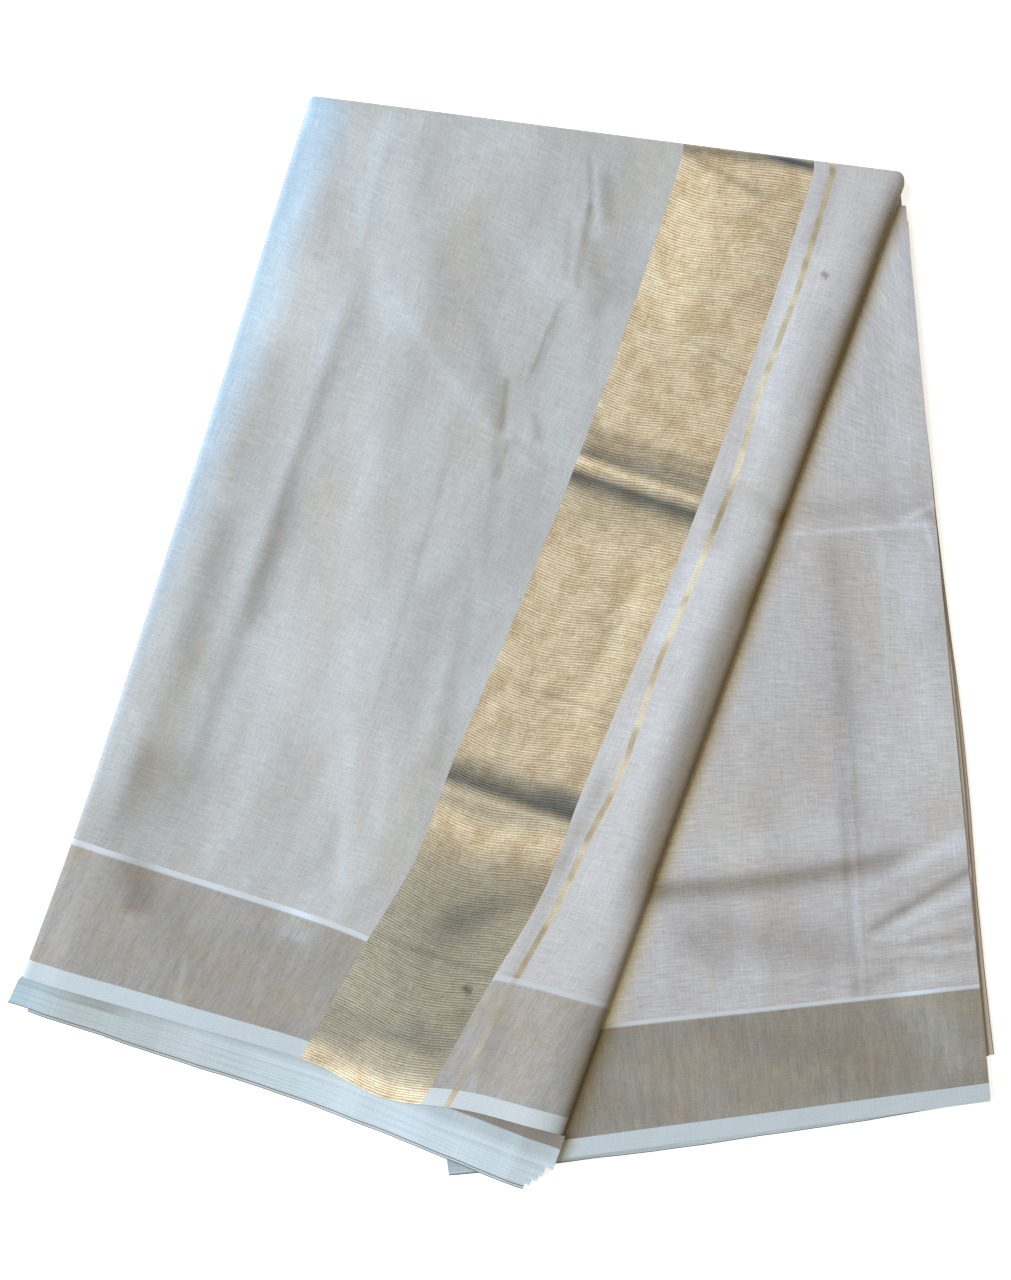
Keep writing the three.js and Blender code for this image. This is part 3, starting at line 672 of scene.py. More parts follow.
# %% A wire
class Wire:
    """A node's output. Sums, products and shares of wires and numbers add Math nodes."""

    def __init__(self, finish, socket):
        self.finish, self.socket = finish, socket

    def math(self, operation, *values):
        return self.finish.node("ShaderNodeMath", {"operation": operation}, dict(enumerate(values)))

    def __add__(self, other):
        return self.math("ADD", self, other)

    def __radd__(self, other):
        return self.math("ADD", other, self)

    def __sub__(self, other):
        return self.math("SUBTRACT", self, other)

    def __rsub__(self, other):
        return self.math("SUBTRACT", other, self)

    def __mul__(self, other):
        return self.math("MULTIPLY", self, other)

    def __rmul__(self, other):
        return self.math("MULTIPLY", other, self)

    def __truediv__(self, other):
        return self.math("DIVIDE", self, other)

    def sin(self):
        return self.math("SINE", self)

    def at_most(self, other):
        return self.math("MINIMUM", self, other)

    def at_least(self, other):
        return self.math("MAXIMUM", self, other)


# %% A finish made of wires
# Very dark streaks are mostly painted shade and take its warm colour.
DEEP_TONE = 0.12  # darker than this, a streak takes a warm tint as well


class Finish:
    """One material. U and V are the place in the flat cloth, in millimetres."""

    def __init__(self, name):
        self.material = bpy.data.materials.new(name)
        self.material.use_nodes = True
        self.tree = self.material.node_tree
        self.tree.nodes.clear()
        flat = self.node("ShaderNodeUVMap", {"uv_map": "cloth"})
        self.u = self.node("ShaderNodeSeparateXYZ", {}, {0: flat}, output=0) * (1 / MM)
        self.v = self.node("ShaderNodeSeparateXYZ", {}, {0: flat}, output=1) * (1 / MM)
        # The first attribute holds the cloth's own streaks and painted light and shade, the second painted
        # warm light at the right roll's foot.
        self.tone = self.node("ShaderNodeAttribute", {"attribute_name": "tone"}, output=2)
        self.warmth = self.node("ShaderNodeAttribute", {"attribute_name": "warmth"}, output=2)

    def node(self, kind, settings=None, inputs=None, output=0):
        """Adds any node: its settings first, a ramp's stops among them, then its inputs."""
        node = self.tree.nodes.new(kind)
        for key, value in (settings or {}).items():
            if key == "stops":
                ramp = node.color_ramp.elements
                for position, _ in value[1:-1]:
                    ramp.new(position)
                for element, (_, color) in zip(ramp, value):
                    element.color = (*color, 1)
            else:
                setattr(node, key, value)
        for key, value in (inputs or {}).items():
            if isinstance(value, Wire):
                self.tree.links.new(value.socket, node.inputs[key])
            elif isinstance(value, tuple):  # a colour that may go into a vector socket
                node.inputs[key].default_value = value[: len(node.inputs[key].default_value)]
            else:
                node.inputs[key].default_value = value
        return Wire(self, node.outputs[output]) if node.outputs else node

    def noise(self, across, along, detail=2.0, rough=0.5, shift=0.0):
        """Noise between 0 and 1 that changes over so many mm across and along the cloth."""
        spot = self.node("ShaderNodeCombineXYZ", {}, {0: self.u / across, 1: self.v / along, 2: shift})
        inputs = {"Vector": spot, "Scale": 1.0, "Detail": detail, "Roughness": rough}
        return self.node("ShaderNodeTexNoise", {}, inputs)

    def step(self, value, start, end):
        """0 up to start and 1 from end, with a soft rise between them."""
        settings = {"interpolation_type": "SMOOTHSTEP", "clamp": True}
        return self.node("ShaderNodeMapRange", settings, {0: value, 1: start, 2: end, 3: 0.0, 4: 1.0})

    def between(self, value, start, end, soft):
        """1 from start to end and 0 outside, with soft edges."""
        return self.step(value, start - soft, start + soft) - self.step(value, end - soft, end + soft)

    def ramp(self, value, top, stops):
        """A number read off a line through stops, each a value up to top and its number up to 1."""
        points = [(place / top, (number,) * 3) for place, number in stops]
        return self.node("ShaderNodeValToRGB", {"stops": points}, {0: value / top})

    def mix(self, share, first, second):
        """The first colour where share is 0, and the second where it is 1."""
        return self.node("ShaderNodeMix", {"data_type": "RGBA"}, {0: share, 6: first, 7: second}, 2)

    def shade(self, color, amount):
        """The colour made lighter or darker by an amount around 1."""
        return self.node("ShaderNodeVectorMath", {"operation": "SCALE"}, {0: color, "Scale": amount})

    def toned(self, color, tone, light=(0.7, 1.05, 1.4), dark=(0.97, 1.0, 1.03), deep=(0.0, 0.09, 0.24)):
        """The colour times 1 + tone, with a tint each for light, dark and very dark streaks. The streaks
        are the cloth's own tone and painted light and shade, and the warm tint of very dark ones is that
        of painted shade.
        """
        gain = (1.0, 1.0, 1.0)
        parts = tone.at_least(0.0), tone.at_most(0.0), (tone + DEEP_TONE).at_most(0.0)
        for tint, part in zip((light, dark, deep), parts):
            tinted = self.shade(tint, part)
            gain = self.node("ShaderNodeVectorMath", {"operation": "ADD"}, {0: tinted, 1: gain})
        return self.node("ShaderNodeVectorMath", {"operation": "MULTIPLY"}, {0: color, 1: gain})

    def close(self, color, roughness, height, relief_size, metallic=0.0, sheen=0.0):
        """Ends the material: the shader, with a bump of the given height in millimetres."""
        bumps = {"Strength": 1.0, "Distance": relief_size * MM, "Height": height}
        bump = self.node("ShaderNodeBump", {}, bumps)
        inputs = {"Base Color": color, "Roughness": roughness, "Metallic": metallic, "Normal": bump}
        inputs["Sheen Weight"] = sheen
        surface = self.node("ShaderNodeBsdfPrincipled", {}, inputs)
        self.node("ShaderNodeOutputMaterial", {}, {0: surface})
        return self.material


def rgb(red, green, blue):
    """A screen colour from 0 to 255, as the linear colour that a shader wants."""
    scaled = [c / 255 for c in (red, green, blue)]
    linear = [c / 12.92 if c <= 0.04045 else ((c + 0.055) / 1.055) ** 2.4 for c in scaled]
    return (*linear, 1.0)


# %% [markdown]
# ## Finishes
# Each zone of the cloth has its own yarns. The body is thin unbleached cotton, so the layers
# under it show through as soft grey and warm patches. Slubs, which are thicker bits of handspun
# yarn, draw short lines along both thread directions. The border has fine metal thread among
# the cotton, the selvedge is packed cotton only, and the band is metal weft with ribs.


# %% Threads shared by all zones
def threads(f, warp=1.0, weft=1.0, run=12):
    """Uneven yarns in both directions, as noise that is short across a yarn and long along it, and
    the grain where they cross. Each is around 0."""
    along = f.noise(warp, run, 2, 0.6, 1.0) - 0.5
    across = f.noise(run, weft, 2, 0.6, 7.0) - 0.5
    grain = f.noise(1.2, 1.2, 2, 0.7, 3.0) - 0.5
    return along, across, grain


def slubs(f):
    """Single thick yarns, far apart: narrow noise that only counts above a level."""
    along = f.step(f.noise(1.4, 60, 1, 0.5, 41.0), 0.60, 0.70)
    across = f.step(f.noise(60, 1.4, 1, 0.5, 43.0), 0.60, 0.70)
    return along + across


def painted_roll_light(f, color, amount=0.42):
    """The colour, cooler and lighter over the last 32 mm before the left roll as painted cool light,
    more so high up, and warmer at the right roll's foot as painted warm light, where its underside
    throws light back."""
    near = (1.0 - f.step(f.u, -6.0, 32.0)) * f.step(f.v, -600, 400)
    color = f.toned(color, near * amount, (-0.05, 0.65, 1.3))
    return f.toned(color, f.warmth, (0.15, 0.0, -0.38))


# %% Cotton
def cotton(name, cool, grey, warm_share, weft_share=1.0):
    """Off-white plain weave: a cool grey white, patched along the panel by the layers under it."""
    f = Finish(name)
    along, across, grain = threads(f)
    patches = f.step(f.noise(40, 130, 3, 0.55, 11.0), 0.35, 0.68)
    warm = f.step(f.noise(46, 120, 2, 0.5, 23.0), 0.42, 0.72)
    color = f.mix(patches, cool, grey)
    color = f.mix(warm * warm_share, color, rgb(192, 185, 173))
    color = painted_roll_light(f, f.toned(color, f.tone))
    weave = 1.0 + along * 0.36 + across * weft_share * 0.46 + grain * 0.34 + slubs(f) * 0.05
    height = along * 0.6 + across * 0.7 + grain * 0.3
    return f, f.shade(color, weave), height


def body_cotton():
    """The upper half's body."""
    f, color, height = cotton("cotton", rgb(200, 205, 208), rgb(186, 188, 189), 0.4)
    return f.close(color, 0.86, height, 0.12, sheen=0.05)


def lower_cotton():
    """The lower half's body, where the yarns across show more."""
    f, color, height = cotton("lower cotton", rgb(203, 204, 208), rgb(192, 191, 194), 0.35, 1.4)
    return f.close(color, 0.86, height, 0.12, sheen=0.05)


# %% Gold
GOLD_LINE_MOST, GOLD_LINE_WIDTH = 16, 3.5
GOLD_LINE_AT = [
    (0, 0.78), (33, 0.78), (76, 0.66), (138, 0.56), (173, 0.7), (198, 0.92), (226, 0.95), (285, 0.66),
    (360, 0.72), (400, 0.78), (456, 0.54), (518, 0.65), (620, 0.56),
]  # height above the band's bottom edge, and the line's distance from the band, a share of the most
RIB = 1.6  # from one rib of the band to the next
BAND_TOP = 620
# Painted shade and dim reflection along the band: the share by which the gold turns olive.
BAND_PAINTED_SHADE = [
    (0, 0.1), (7, 0.15), (14, 0.7), (40, 0.8), (100, 0.85), (140, 0.6), (160, 0.1), (168, 0.05), (180, 0.7),
    (205, 0.15), (350, 0.05), (362, 0.3), (380, 0.35), (400, 0.05), (620, 0.0),
]  # height above the band's bottom edge, and how olive it is there


def gold_threads(f):
    """Metal weft in ribs: sin(2 pi v / rib), broken into dashes by noise, with sparks where single
    flat strips catch the light."""
    sway = f.noise(30, 6, 2, 0.5, 2.0) - 0.5
    ribs = ((f.v + sway * 1.6) * (2 * math.pi / RIB)).sin()
    dashes = f.noise(6, 1.0, 2, 0.6, 15.0)
    along, across, grain = threads(f, 1.0, 0.8, 9)
    spark = f.step(f.noise(1.8, 1.0, 2, 0.8, 5.0), 0.54, 0.70)
    tan = f.step(f.noise(14, 20, 3, 0.6, 31.0), 0.38, 0.66)
    pale = f.step(f.noise(16, 26, 2, 0.5, 37.0), 0.48, 0.74)
    color = f.mix(tan, rgb(238, 220, 186), rgb(214, 192, 154))
    color = f.mix(pale * 0.5, color, rgb(240, 230, 200))
    color = f.mix(spark * 0.6, color, rgb(255, 246, 220))
    amount = 0.97 + ribs * dashes * 0.62 + along * 0.45 + across * 0.80 + grain * 0.7
    return color, amount, ribs * 0.5 + along * 0.3 + across * 0.4


def gold_band():
    """Dense metal weft in ribs, brighter and duller along its length by painted shade and dim reflection.
    """
    f = Finish("gold band")
    color, amount, height = gold_threads(f)
    color = f.mix(f.ramp(f.v, BAND_TOP, BAND_PAINTED_SHADE), color, rgb(170, 167, 150))
    color = f.toned(color, f.tone, (0.95, 1.0, 1.05), (1.0, 0.94, 0.84), (0.0, 0.0, 0.0))
    return f.close(f.shade(color, amount), 0.45, height, 0.18, metallic=0.25)


def gold_line(f, color, share=0.9):
    """The colour with one thin gold line woven in beside the band, and how much of it is line."""
    gold, amount, _ = gold_threads(f)
    away = f.ramp(f.v, BAND_TOP, GOLD_LINE_AT) * GOLD_LINE_MOST
    past = f.u - away - (BAND_START + BAND_WIDTH)
    inside = f.between(past, 0.0, GOLD_LINE_WIDTH, 0.5)
    bright = f.step(f.noise(60, 30, 2, 0.6, 9.0), 0.38, 0.56)
    gold = f.mix(bright, rgb(194, 180, 142), f.mix(0.3, gold, rgb(255, 250, 225)))
    gold = f.shade(gold, 0.6 + amount * 0.4)
    return f.mix(inside * share, color, f.toned(gold, f.tone * 1.5)), inside * share


def end_cotton():
    """The end piece: cotton with the thin gold line, a lighter white than the body's cotton as painted
    light.
    """
    f, color, height = cotton("end cotton", rgb(216, 218, 222), rgb(207, 208, 212), 0.15)
    color, inside = gold_line(f, color)
    return f.close(color, 0.84 - inside * 0.4, height, 0.12, metallic=inside * 0.25)


# %% Borders and selvedges
def zari_border(name, top, line_width, base, warm_color, has_gold_line=False):
    """Cotton with fine metal thread: taupe, streaked along the panel, under a white line."""
    f = Finish(name)
    along, across, grain = threads(f, 1.2, 1.0, 9)
    streaks = f.noise(5, 42, 3, 0.6, 13.0) - 0.5
    warm = f.step(f.noise(44, 24, 2, 0.5, 19.0), 0.40, 0.66)
    color = painted_roll_light(f, f.toned(f.mix(warm, base, warm_color), f.tone), 0.75)
    color = f.shade(color, 1.0 + streaks * 0.45 + along * 0.52 + across * 0.34 + grain * 0.34)
    white = f.between(f.v, top - line_width, top + 5, 0.8)
    color = f.mix(white * 0.95, color, painted_roll_light(f, f.toned(rgb(212, 220, 227), f.tone)))
    if has_gold_line:
        color, _ = gold_line(f, color, 0.35)
    height = along * 0.7 + across * 0.5 + white * 0.8
    return f.close(color, 0.6 + white * 0.2, height, 0.12, metallic=0.12 - white * 0.12)


def selvedge(name, white, has_gold_line=False):
    """Packed white cotton, smooth, a little bluer than the body."""
    f = Finish(name)
    along, across, grain = threads(f, 0.9, 0.9, 26)
    color = painted_roll_light(f, f.toned(white, f.tone))
    color = f.shade(color, 1.0 + along * 0.16 + across * 0.20 + grain * 0.14)
    if has_gold_line:
        color, _ = gold_line(f, color)
    return f.close(color, 0.8, along * 0.5 + across * 0.5, 0.1, sheen=0.05)


def layer_edge(name, border=False, last=False):
    """A layer under an edge. Its own edge has a painted highlight, and it has painted shade towards
    the layer above and is greyer at its left end. The topmost one shows its border above its selvedge."""
    f = Finish(name)
    along, across, grain = threads(f, 1.2, 0.9, 26)
    color = f.mix(f.step(f.u, -10, 260), rgb(182, 192, 193), rgb(210, 226, 235))
    if border:
        zari = f.step(f.v, SELVEDGE - 0.5, SELVEDGE + 0.5) * f.step(f.u, 150, 250)
        color = f.mix(zari, color, rgb(158, 152, 143))
    color = painted_roll_light(f, f.toned(color, f.tone), 0.3)
    painted_edge_light = (1.0 - f.step(f.v, 0.5, 1.1)) * 0.12 - f.step(f.v, 1.0, 6.0) * 0.14
    patches = f.noise(30, 300, 3, 0.6, 17.0) - 0.5
    color = f.shade(color, 1.0 + painted_edge_light + patches * 0.35 + along * 0.24 + across * 0.24 + grain * 0.2)
    if last:
        color = f.mix(1.0 - f.step(f.v, 0.3, 0.7), color, rgb(96, 92, 84))
    return f.close(color, 0.8, along * 0.5 + across * 0.5, 0.1, sheen=0.05)


def folded_edge():
    """Folded cotton seen from its edge: U is 0 at the nose, which has painted brown shade."""
    f = Finish("folded edge")
    along, across, grain = threads(f)
    nose = f.step(f.u, -1.1, -0.3)
    color = f.mix(nose, rgb(224, 217, 205), rgb(140, 124, 102))
    color = f.shade(color, 1.0 + along * 0.2 + across * 0.3 + grain * 0.2)
    return f.close(color, 0.86, along + across, 0.1)


def hidden_cotton():
    """The layers inside: lines of layer upon layer up the sides, as sin(2 pi z / pitch)."""
    f = Finish("hidden cotton")
    spot = f.node("ShaderNodeTexCoord", output=3)
    height = f.node("ShaderNodeSeparateXYZ", {}, {0: spot}, output=2) * (1 / MM)
    lines = (height * (2 * math.pi / LAYER_PITCH)).sin()
    soft = f.node("ShaderNodeTexNoise", {}, {"Vector": spot, "Scale": 30.0, "Detail": 3.0})
    color = f.shade(rgb(203, 201, 196), 0.94 + lines * 0.08 + (soft - 0.5) * 0.3)
    return f.close(color, 0.9, lines * 0.5, 0.1)


COTTON, GOLD, END, LOWER_COTTON = body_cotton(), gold_band(), end_cotton(), lower_cotton()
FOLDED, HIDDEN = folded_edge(), hidden_cotton()
DENSE = selvedge("selvedge", rgb(203, 216, 224))
DENSE_RIGHT = selvedge("selvedge with gold line", rgb(218, 230, 237), True)
TAUPE, WARM_TAUPE = rgb(162, 160, 156), rgb(166, 159, 149)
PALE_TAUPE, PALE_WARM = rgb(184, 184, 182), rgb(187, 181, 172)
UPPER_ZARI = zari_border("upper zari border", UPPER_BORDER, 3.5, TAUPE, WARM_TAUPE)
UPPER_ZARI_RIGHT = zari_border("zari border with gold line", UPPER_BORDER, 3.5, PALE_TAUPE, PALE_WARM, True)
LOWER_TAUPE, LOWER_WARM = rgb(155, 151, 143), rgb(161, 153, 140)
LOWER_ZARI = zari_border("lower zari border", LOWER_BORDER, 2.4, LOWER_TAUPE, LOWER_WARM)
FIRST_EDGE, NEXT_EDGE = layer_edge("first layer's edge", border=True), layer_edge("layer's edge")
LAST_EDGE = layer_edge("last layer's edge", last=True)
print("finishes:", [m.name for m in bpy.data.materials])

# %% [markdown]
# ## The upper half's cloth
# All stretches of the upper half are cut from the one grid: body, gold band and end piece from
# the fold to the border, and border and selvedge on both sides of the band, which runs on to
# the edge.

# %% Stretches of the upper half
upper_column, upper_row = np.meshgrid(UPPER_COLUMNS, UPPER_ROWS)
upper_outer = upper_sheet(upper_column, upper_row, 0.0)
upper_inner = upper_sheet(upper_column, upper_row, CLOTH)
upper_flat_cloth = upper_woven(upper_column, upper_row)

upper_grids = UPPER_COLUMNS, UPPER_ROWS, upper_outer, upper_inner, upper_flat_cloth


def cut_stretches(half, grids, stretches):
    """Cuts stretches out of one half's grids, each from its first to its last column and row."""
    columns, rows, *faces = grids
    for name, (left, right), (top, bottom), material, slot in stretches:
        down = np.flatnonzero((rows >= top) & (rows <= bottom))
        across = np.flatnonzero((columns >= left) & (columns <= right))
        layers = [[face[np.ix_(down, across)] for face in faces]]
        cloth_piece(f"{half}_{name}", layers, material)


UPPER_STRETCHES = [
    ("body", (-9, 1), (-9, 1), COTTON, "cotton"),
    ("gold_band", (1, 2), (-9, 3), GOLD, "gold_band"),
    ("end_piece", (2, 9), (-9, 1), END, "cotton"),
    ("border_left", (-9, 1), (1, 2), UPPER_ZARI, "zari_border"),
    ("selvedge_left", (-9, 1), (2, 3), DENSE, "selvedge"),
    ("border_right", (2, 9), (1, 2), UPPER_ZARI_RIGHT, "zari_border"),
    ("selvedge_right", (2, 9), (2, 3), DENSE_RIGHT, "selvedge"),
]
cut_stretches("upper", upper_grids, UPPER_STRETCHES)

# %% [markdown]
# ## Layered edges
# Past the upper half's bottom edge the layers below it show, each a step lower and a little
# longer, like the pages of a pushed book. Each solid there stands for two or three sheets, so
# each piece is two thin sheets with edges of their own, each with a slow wave in it.

# %% Layers under the upper half's edge
UPPER_LEAVES = [
    (5.0, 8.5, 22, -1.5),
    (8.5, 13.5, 28, 3),
    (12.5, 18, 32, 5),
    (16.5, 22.5, 36, 8),
    (20, 26.5, 39, 11),
]
LEAF_CORNER, LEAF_CORNER_MORE = 1.4, 0.42  # how far the left corners stand out
LEAF_SPREAD = 1.3  # power by which the right half's reach grows
SHEETS, SHEET_STEP = 2, 1.8  # thin sheets in one leaf, the upper one shorter
SHEET_WAVE = 0.8  # of a sheet's edge
LEAF_SAG, LEAF_LIFT = 0.18, 0.1  # a leaf's slow wave up and down, and the most that it goes up


def wavy(share, seed, size):
    """A slow wave along an edge: three seeded sines over the edge's length."""
    draw = np.random.default_rng(seed)
    total = np.zeros_like(share)
    for count, phase in zip((3, 7, 13), draw.uniform(0, 2 * math.pi, 3)):
        total += np.sin(count * 2 * math.pi * share + phase) / count
    return size * total


def upper_leaf(number, sheet):
    """Sheet grids of one layer. Rows run from under the cloth, past its edge, to the layer's own
    edge, whose reach blends from left to middle to right."""
    left, middle, right, short = UPPER_LEAVES[number]
    share, row = np.meshgrid(np.linspace(0, 1, 150), [0, 0.5, 1, 1.02, 1.1, 1.25, 1.5, 1.75, 2])
    width = float(upper_width(np.ones(1))[0])
    corner = ROLL_RADIUS + (LEAF_CORNER + LEAF_CORNER_MORE * number) * np.clip(row - 1, 0, 1)
    start = np.where(row > 1, -corner, ROLL_RADIUS / 2)
    end = np.where(row > 1, width + ROLL_RADIUS - short, width - ROLL_RADIUS / 2)
    across = lerp(start, end, share) / width
    length, edge = upper_length(across), upper_edge(np.clip(across, 0, 1))
    late = np.maximum(2 * share - 1, 0) ** LEAF_SPREAD
    past = lerp(left, middle, np.minimum(2 * share, 1)) + late * (right - middle)
    past = past + wavy(share, 40 + 2 * number + sheet, SHEET_WAVE) - (SHEETS - 1 - sheet) * SHEET_STEP
    outer = np.maximum(1 + past / length, edge + (2 + number + sheet / 2) / length)
    inner = edge - LEAF_DEPTH / length
    down = np.where(row <= 1, lerp(inner, edge, row), lerp(edge, outer, row - 1))
    depth = LEAF_TOP + (number + sheet / SHEETS) * LEAF_PITCH
    sag = wavy(share, 60 + number, LEAF_SAG) * smooth(row - 1)
    top = upper_flat(across, down, depth)
    top[..., 2] += np.minimum(sag, LEAF_LIFT)
    under = top - np.array([0, 0, CLOTH])
    woven = np.dstack([across * width, (outer - down) * length])
    return top, under, woven


def leaf_pieces(half, leaf, materials):
    """The layered edges of one half, from the top one down, with the sheets in each."""
    for number, material in enumerate(materials):
        layers = [leaf(number, sheet) for sheet in range(SHEETS)]
        name = f"{half}_leaf_{number + 1}"
        cloth_piece(name, layers, material)


leaf_pieces("upper", upper_leaf, [FIRST_EDGE, NEXT_EDGE, NEXT_EDGE, NEXT_EDGE, LAST_EDGE])

# %% [markdown]
# ## The lower half
# Only a wedge of the lower half shows: it starts at a point near the top fold and widens to the
# bottom. It is one sheet from under the upper half's roll to its own right side, with the same
# zones as the upper half.

# %% The lower half's surface
TUCK = 3  # of the lower cloth under the upper half's roll
TOP_INSET, BOTTOM_INSET = 3, 0.5  # of its right side from the folded edges
WEDGE_START = 0.035  # share down at which it begins


def crossing(p, q, r, s):
    """Where the line through p and q meets the line through r and s."""
    d, e, between = q - p, s - r, r - p
    share = (between[0] * e[1] - between[1] * e[0]) / (d[0] * e[1] - d[1] * e[0])
    return p + d * share


wedge_corner = crossing(fold_end, upper_right_end, lower_left_end, lower_right_end)
wedge_height = float((fold_end - wedge_corner) @ left_of(unit(lower_right_end - wedge_corner)))
print("wedge height, mm:", round(wedge_height, 1))


def lower_height(plan, depth):
    """The lower half's top less a depth, with its creases fading in past the upper half's roll."""
    clear = (plan - fold_end) @ left_of(upper_right_line)
    return HALF - depth + smooth(clear / CREASE_FADE) * pressed(plan, LOWER_CREASES, seed=11)


def wedge_plan(share, down):
    """From a line tucked under the roll to the right side, at a place down."""
    s, d = share[..., None], down[..., None]
    left = lerp(fold_end, wedge_corner, d) - left_of(upper_right_line) * TUCK
    right = lerp(fold_end, lower_right_end, d) - lerp(TOP_INSET, BOTTOM_INSET, d) * np.array([1, 0])
    return lerp(left, right, s)


def lower_place(share, row):
    """Share down of a grid place: rows 0 to 1 the body, 1 to 2 the border, 2 to 3 the selvedge.
    Lines of one share are parallel to the bottom edge, so 1 - share is a distance from it."""
    border = lerp(LOWER_BORDER_LEFT, LOWER_BORDER, share)
    top, bottom = 0 * share + WEDGE_START, 0 * share + 1
    lines = [top, 1 - border / wedge_height, bottom - SELVEDGE / wedge_height, bottom]
    return zones(row, lines), border


def lower_sheet(share, row, depth):
    """The point at a grid place."""
    down, _ = lower_place(share, row)
    plan = wedge_plan(share, down)
    return np.dstack([plan, lower_height(plan, depth)])


def lower_woven(share, row):
    """Millimetres across from the hidden left side, and up from the bottom edge, with the
    border's slant taken out."""
    down, border = lower_place(share, row)
    plan = wedge_plan(share, down)
    side = distance(lower_left_end, lower_right_end) + (plan - fold_end) @ left_of(lower_right_line)
    return np.dstack([side, (1 - down) * wedge_height * LOWER_BORDER / border])


LOWER_COLUMNS = np.linspace(0, 1, 131)
LOWER_ROWS = joined(np.linspace(0, 1, 301), np.linspace(1, 2, 43), np.linspace(2, 3, 8))
lower_share, lower_row = np.meshgrid(LOWER_COLUMNS, LOWER_ROWS)
lower_outer = lower_sheet(lower_share, lower_row, 0.0)
lower_inner = lower_sheet(lower_share, lower_row, CLOTH)
lower_flat_cloth = lower_woven(lower_share, lower_row)

lower_grids = LOWER_COLUMNS, LOWER_ROWS, lower_outer, lower_inner, lower_flat_cloth

LOWER_STRETCHES = [
    ("body", (0, 1), (0, 1), LOWER_COTTON, "cotton"),
    ("border", (0, 1), (1, 2), LOWER_ZARI, "zari_border"),
    ("selvedge", (0, 1), (2, 3), DENSE, "selvedge"),
]
cut_stretches("lower", lower_grids, LOWER_STRETCHES)

# %% Layers at the lower half's bottom edge
LOWER_LEAVES = [(-1.0, 0.4, -1), (0.0, 2.4, 0), (-0.5, -1.0, 1), (-1.5, 0.5, -1.5), (-0.8, -1.5, 0)]
lower_length = distance(fold_end, lower_right_end)


def lower_plan(across, down):
    """Blend of the lower half's four corners."""
    a, d = across[..., None], down[..., None]
    return lerp(lerp(FOLD_START, lower_left_end, d), lerp(fold_end, lower_right_end, d), a)


def lower_leaf(number, sheet):
    """Sheet grids of one layer at the bottom edge; the reach is a parabola through three values."""
    left, middle, right = LOWER_LEAVES[number]
    share, row = np.meshgrid(np.linspace(0, 1, 150), np.linspace(0, 1, 9))
    sag = 4 * share * (1 - share)
    outer = lerp(left, right, share) + sag * (middle - (left + right) / 2)
    outer = outer + wavy(share, 80 + 2 * number + sheet, 0.5) - 0.5 * sheet
    plan = lower_plan(share, 1 + lerp(-LEAF_DEPTH, outer, row) / lower_length)
    depth = LEAF_TOP + (number + sheet / SHEETS) * LEAF_PITCH
    top = np.dstack([plan, np.full(share.shape, HALF - depth)])
    width = distance(lower_left_end, lower_right_end)
    woven = np.dstack([share * width, (1 - row) * (LEAF_DEPTH + outer)])
    return top, top - np.array([0, 0, CLOTH]), woven


leaf_pieces("lower", lower_leaf, [NEXT_EDGE, LAST_EDGE, NEXT_EDGE, NEXT_EDGE, NEXT_EDGE])

# %% [markdown]
# ## Folded edges at the right side
# The lower half's right side is a stack of folded edges, rounded and not cut. Each is a profile,
# flat on top and below and a half circle at its nose, carried down the side.

# %% Folded edges
SIDE_FOLDS = [(-3.0, 1.5), (-1.6, 5.2), (-2.3, 3.0)]
SIDE_DROP, SIDE_DEPTH, SIDE_START = 1, 20, 0.05  # below the leaves' top, inwards, and share down
SIDE_BOW, SIDE_BOW_AT, SIDE_BOW_LENGTH = 3.2, 0.62, 0.2
SIDE_STEP, SIDE_WAVE = 0.4, 0.35  # each layer's edge is this much further in, and wavy
SIDE_GAP = 0.3  # between the side folds and their neighbours
SIDE_PITCH = (HALF - LEAF_TOP - SIDE_DROP) / len(SIDE_FOLDS)


def loft_faces(rings, around):
    """Faces of closed profiles carried along a path, open at both ends."""
    number = np.arange(rings * around).reshape(rings, around)
    a, b = number[:-1], np.roll(number[:-1], -1, axis=1)
    c, d = np.roll(number[1:], -1, axis=1), number[1:]
    return quads(a, d, c, b)


def side_fold(number, layer, layers):
    """One folded edge: profile of (out, up) pairs round a nose, carried down the lower right side."""
    top_reach, bottom_reach = SIDE_FOLDS[number]
    thick = (SIDE_PITCH - SIDE_GAP) / layers
    nose = np.linspace(math.pi / 2, -math.pi / 2, 9)
    out = np.concatenate([[-1.0], 0 * nose, [-1.0]])
    bulge = np.concatenate([[0], np.cos(nose), [0]]) * thick / 2
    up = np.concatenate([[0.5], np.sin(nose) / 2, [-0.5]]) * thick
    row = np.linspace(0, 1, 160)[:, None]
    down = lerp(SIDE_START, 1 - (LEAF_DEPTH + SIDE_GAP) / lower_length, row)
    share = np.zeros_like(down)
    width = distance(lower_plan(share, down), lower_plan(share + 1, down))
    wedge = distance(wedge_plan(share, down), wedge_plan(share + 1, down))
    inner = np.minimum(SIDE_DEPTH, wedge - TUCK)
    wave = wavy(row, 100 + 3 * number + layer, SIDE_WAVE)
    edge = lerp(top_reach, bottom_reach, row**2) + wave - SIDE_STEP * layer
    edge = edge + SIDE_BOW * np.exp(-(((row - SIDE_BOW_AT) / SIDE_BOW_LENGTH) ** 2))
    sideways = np.where(out < 0, -inner, edge - thick / 2 + bulge)
    plan = lower_plan(1 + sideways / width, down + 0 * sideways)
    depth = LEAF_TOP + SIDE_DROP + number * SIDE_PITCH + (layer + 0.5) * (thick + 0.02)
    points = np.dstack([plan, HALF - depth + up + 0 * sideways])
    woven = np.dstack([sideways - edge, (1 - down) * lower_length + 0 * sideways])
    return points, woven


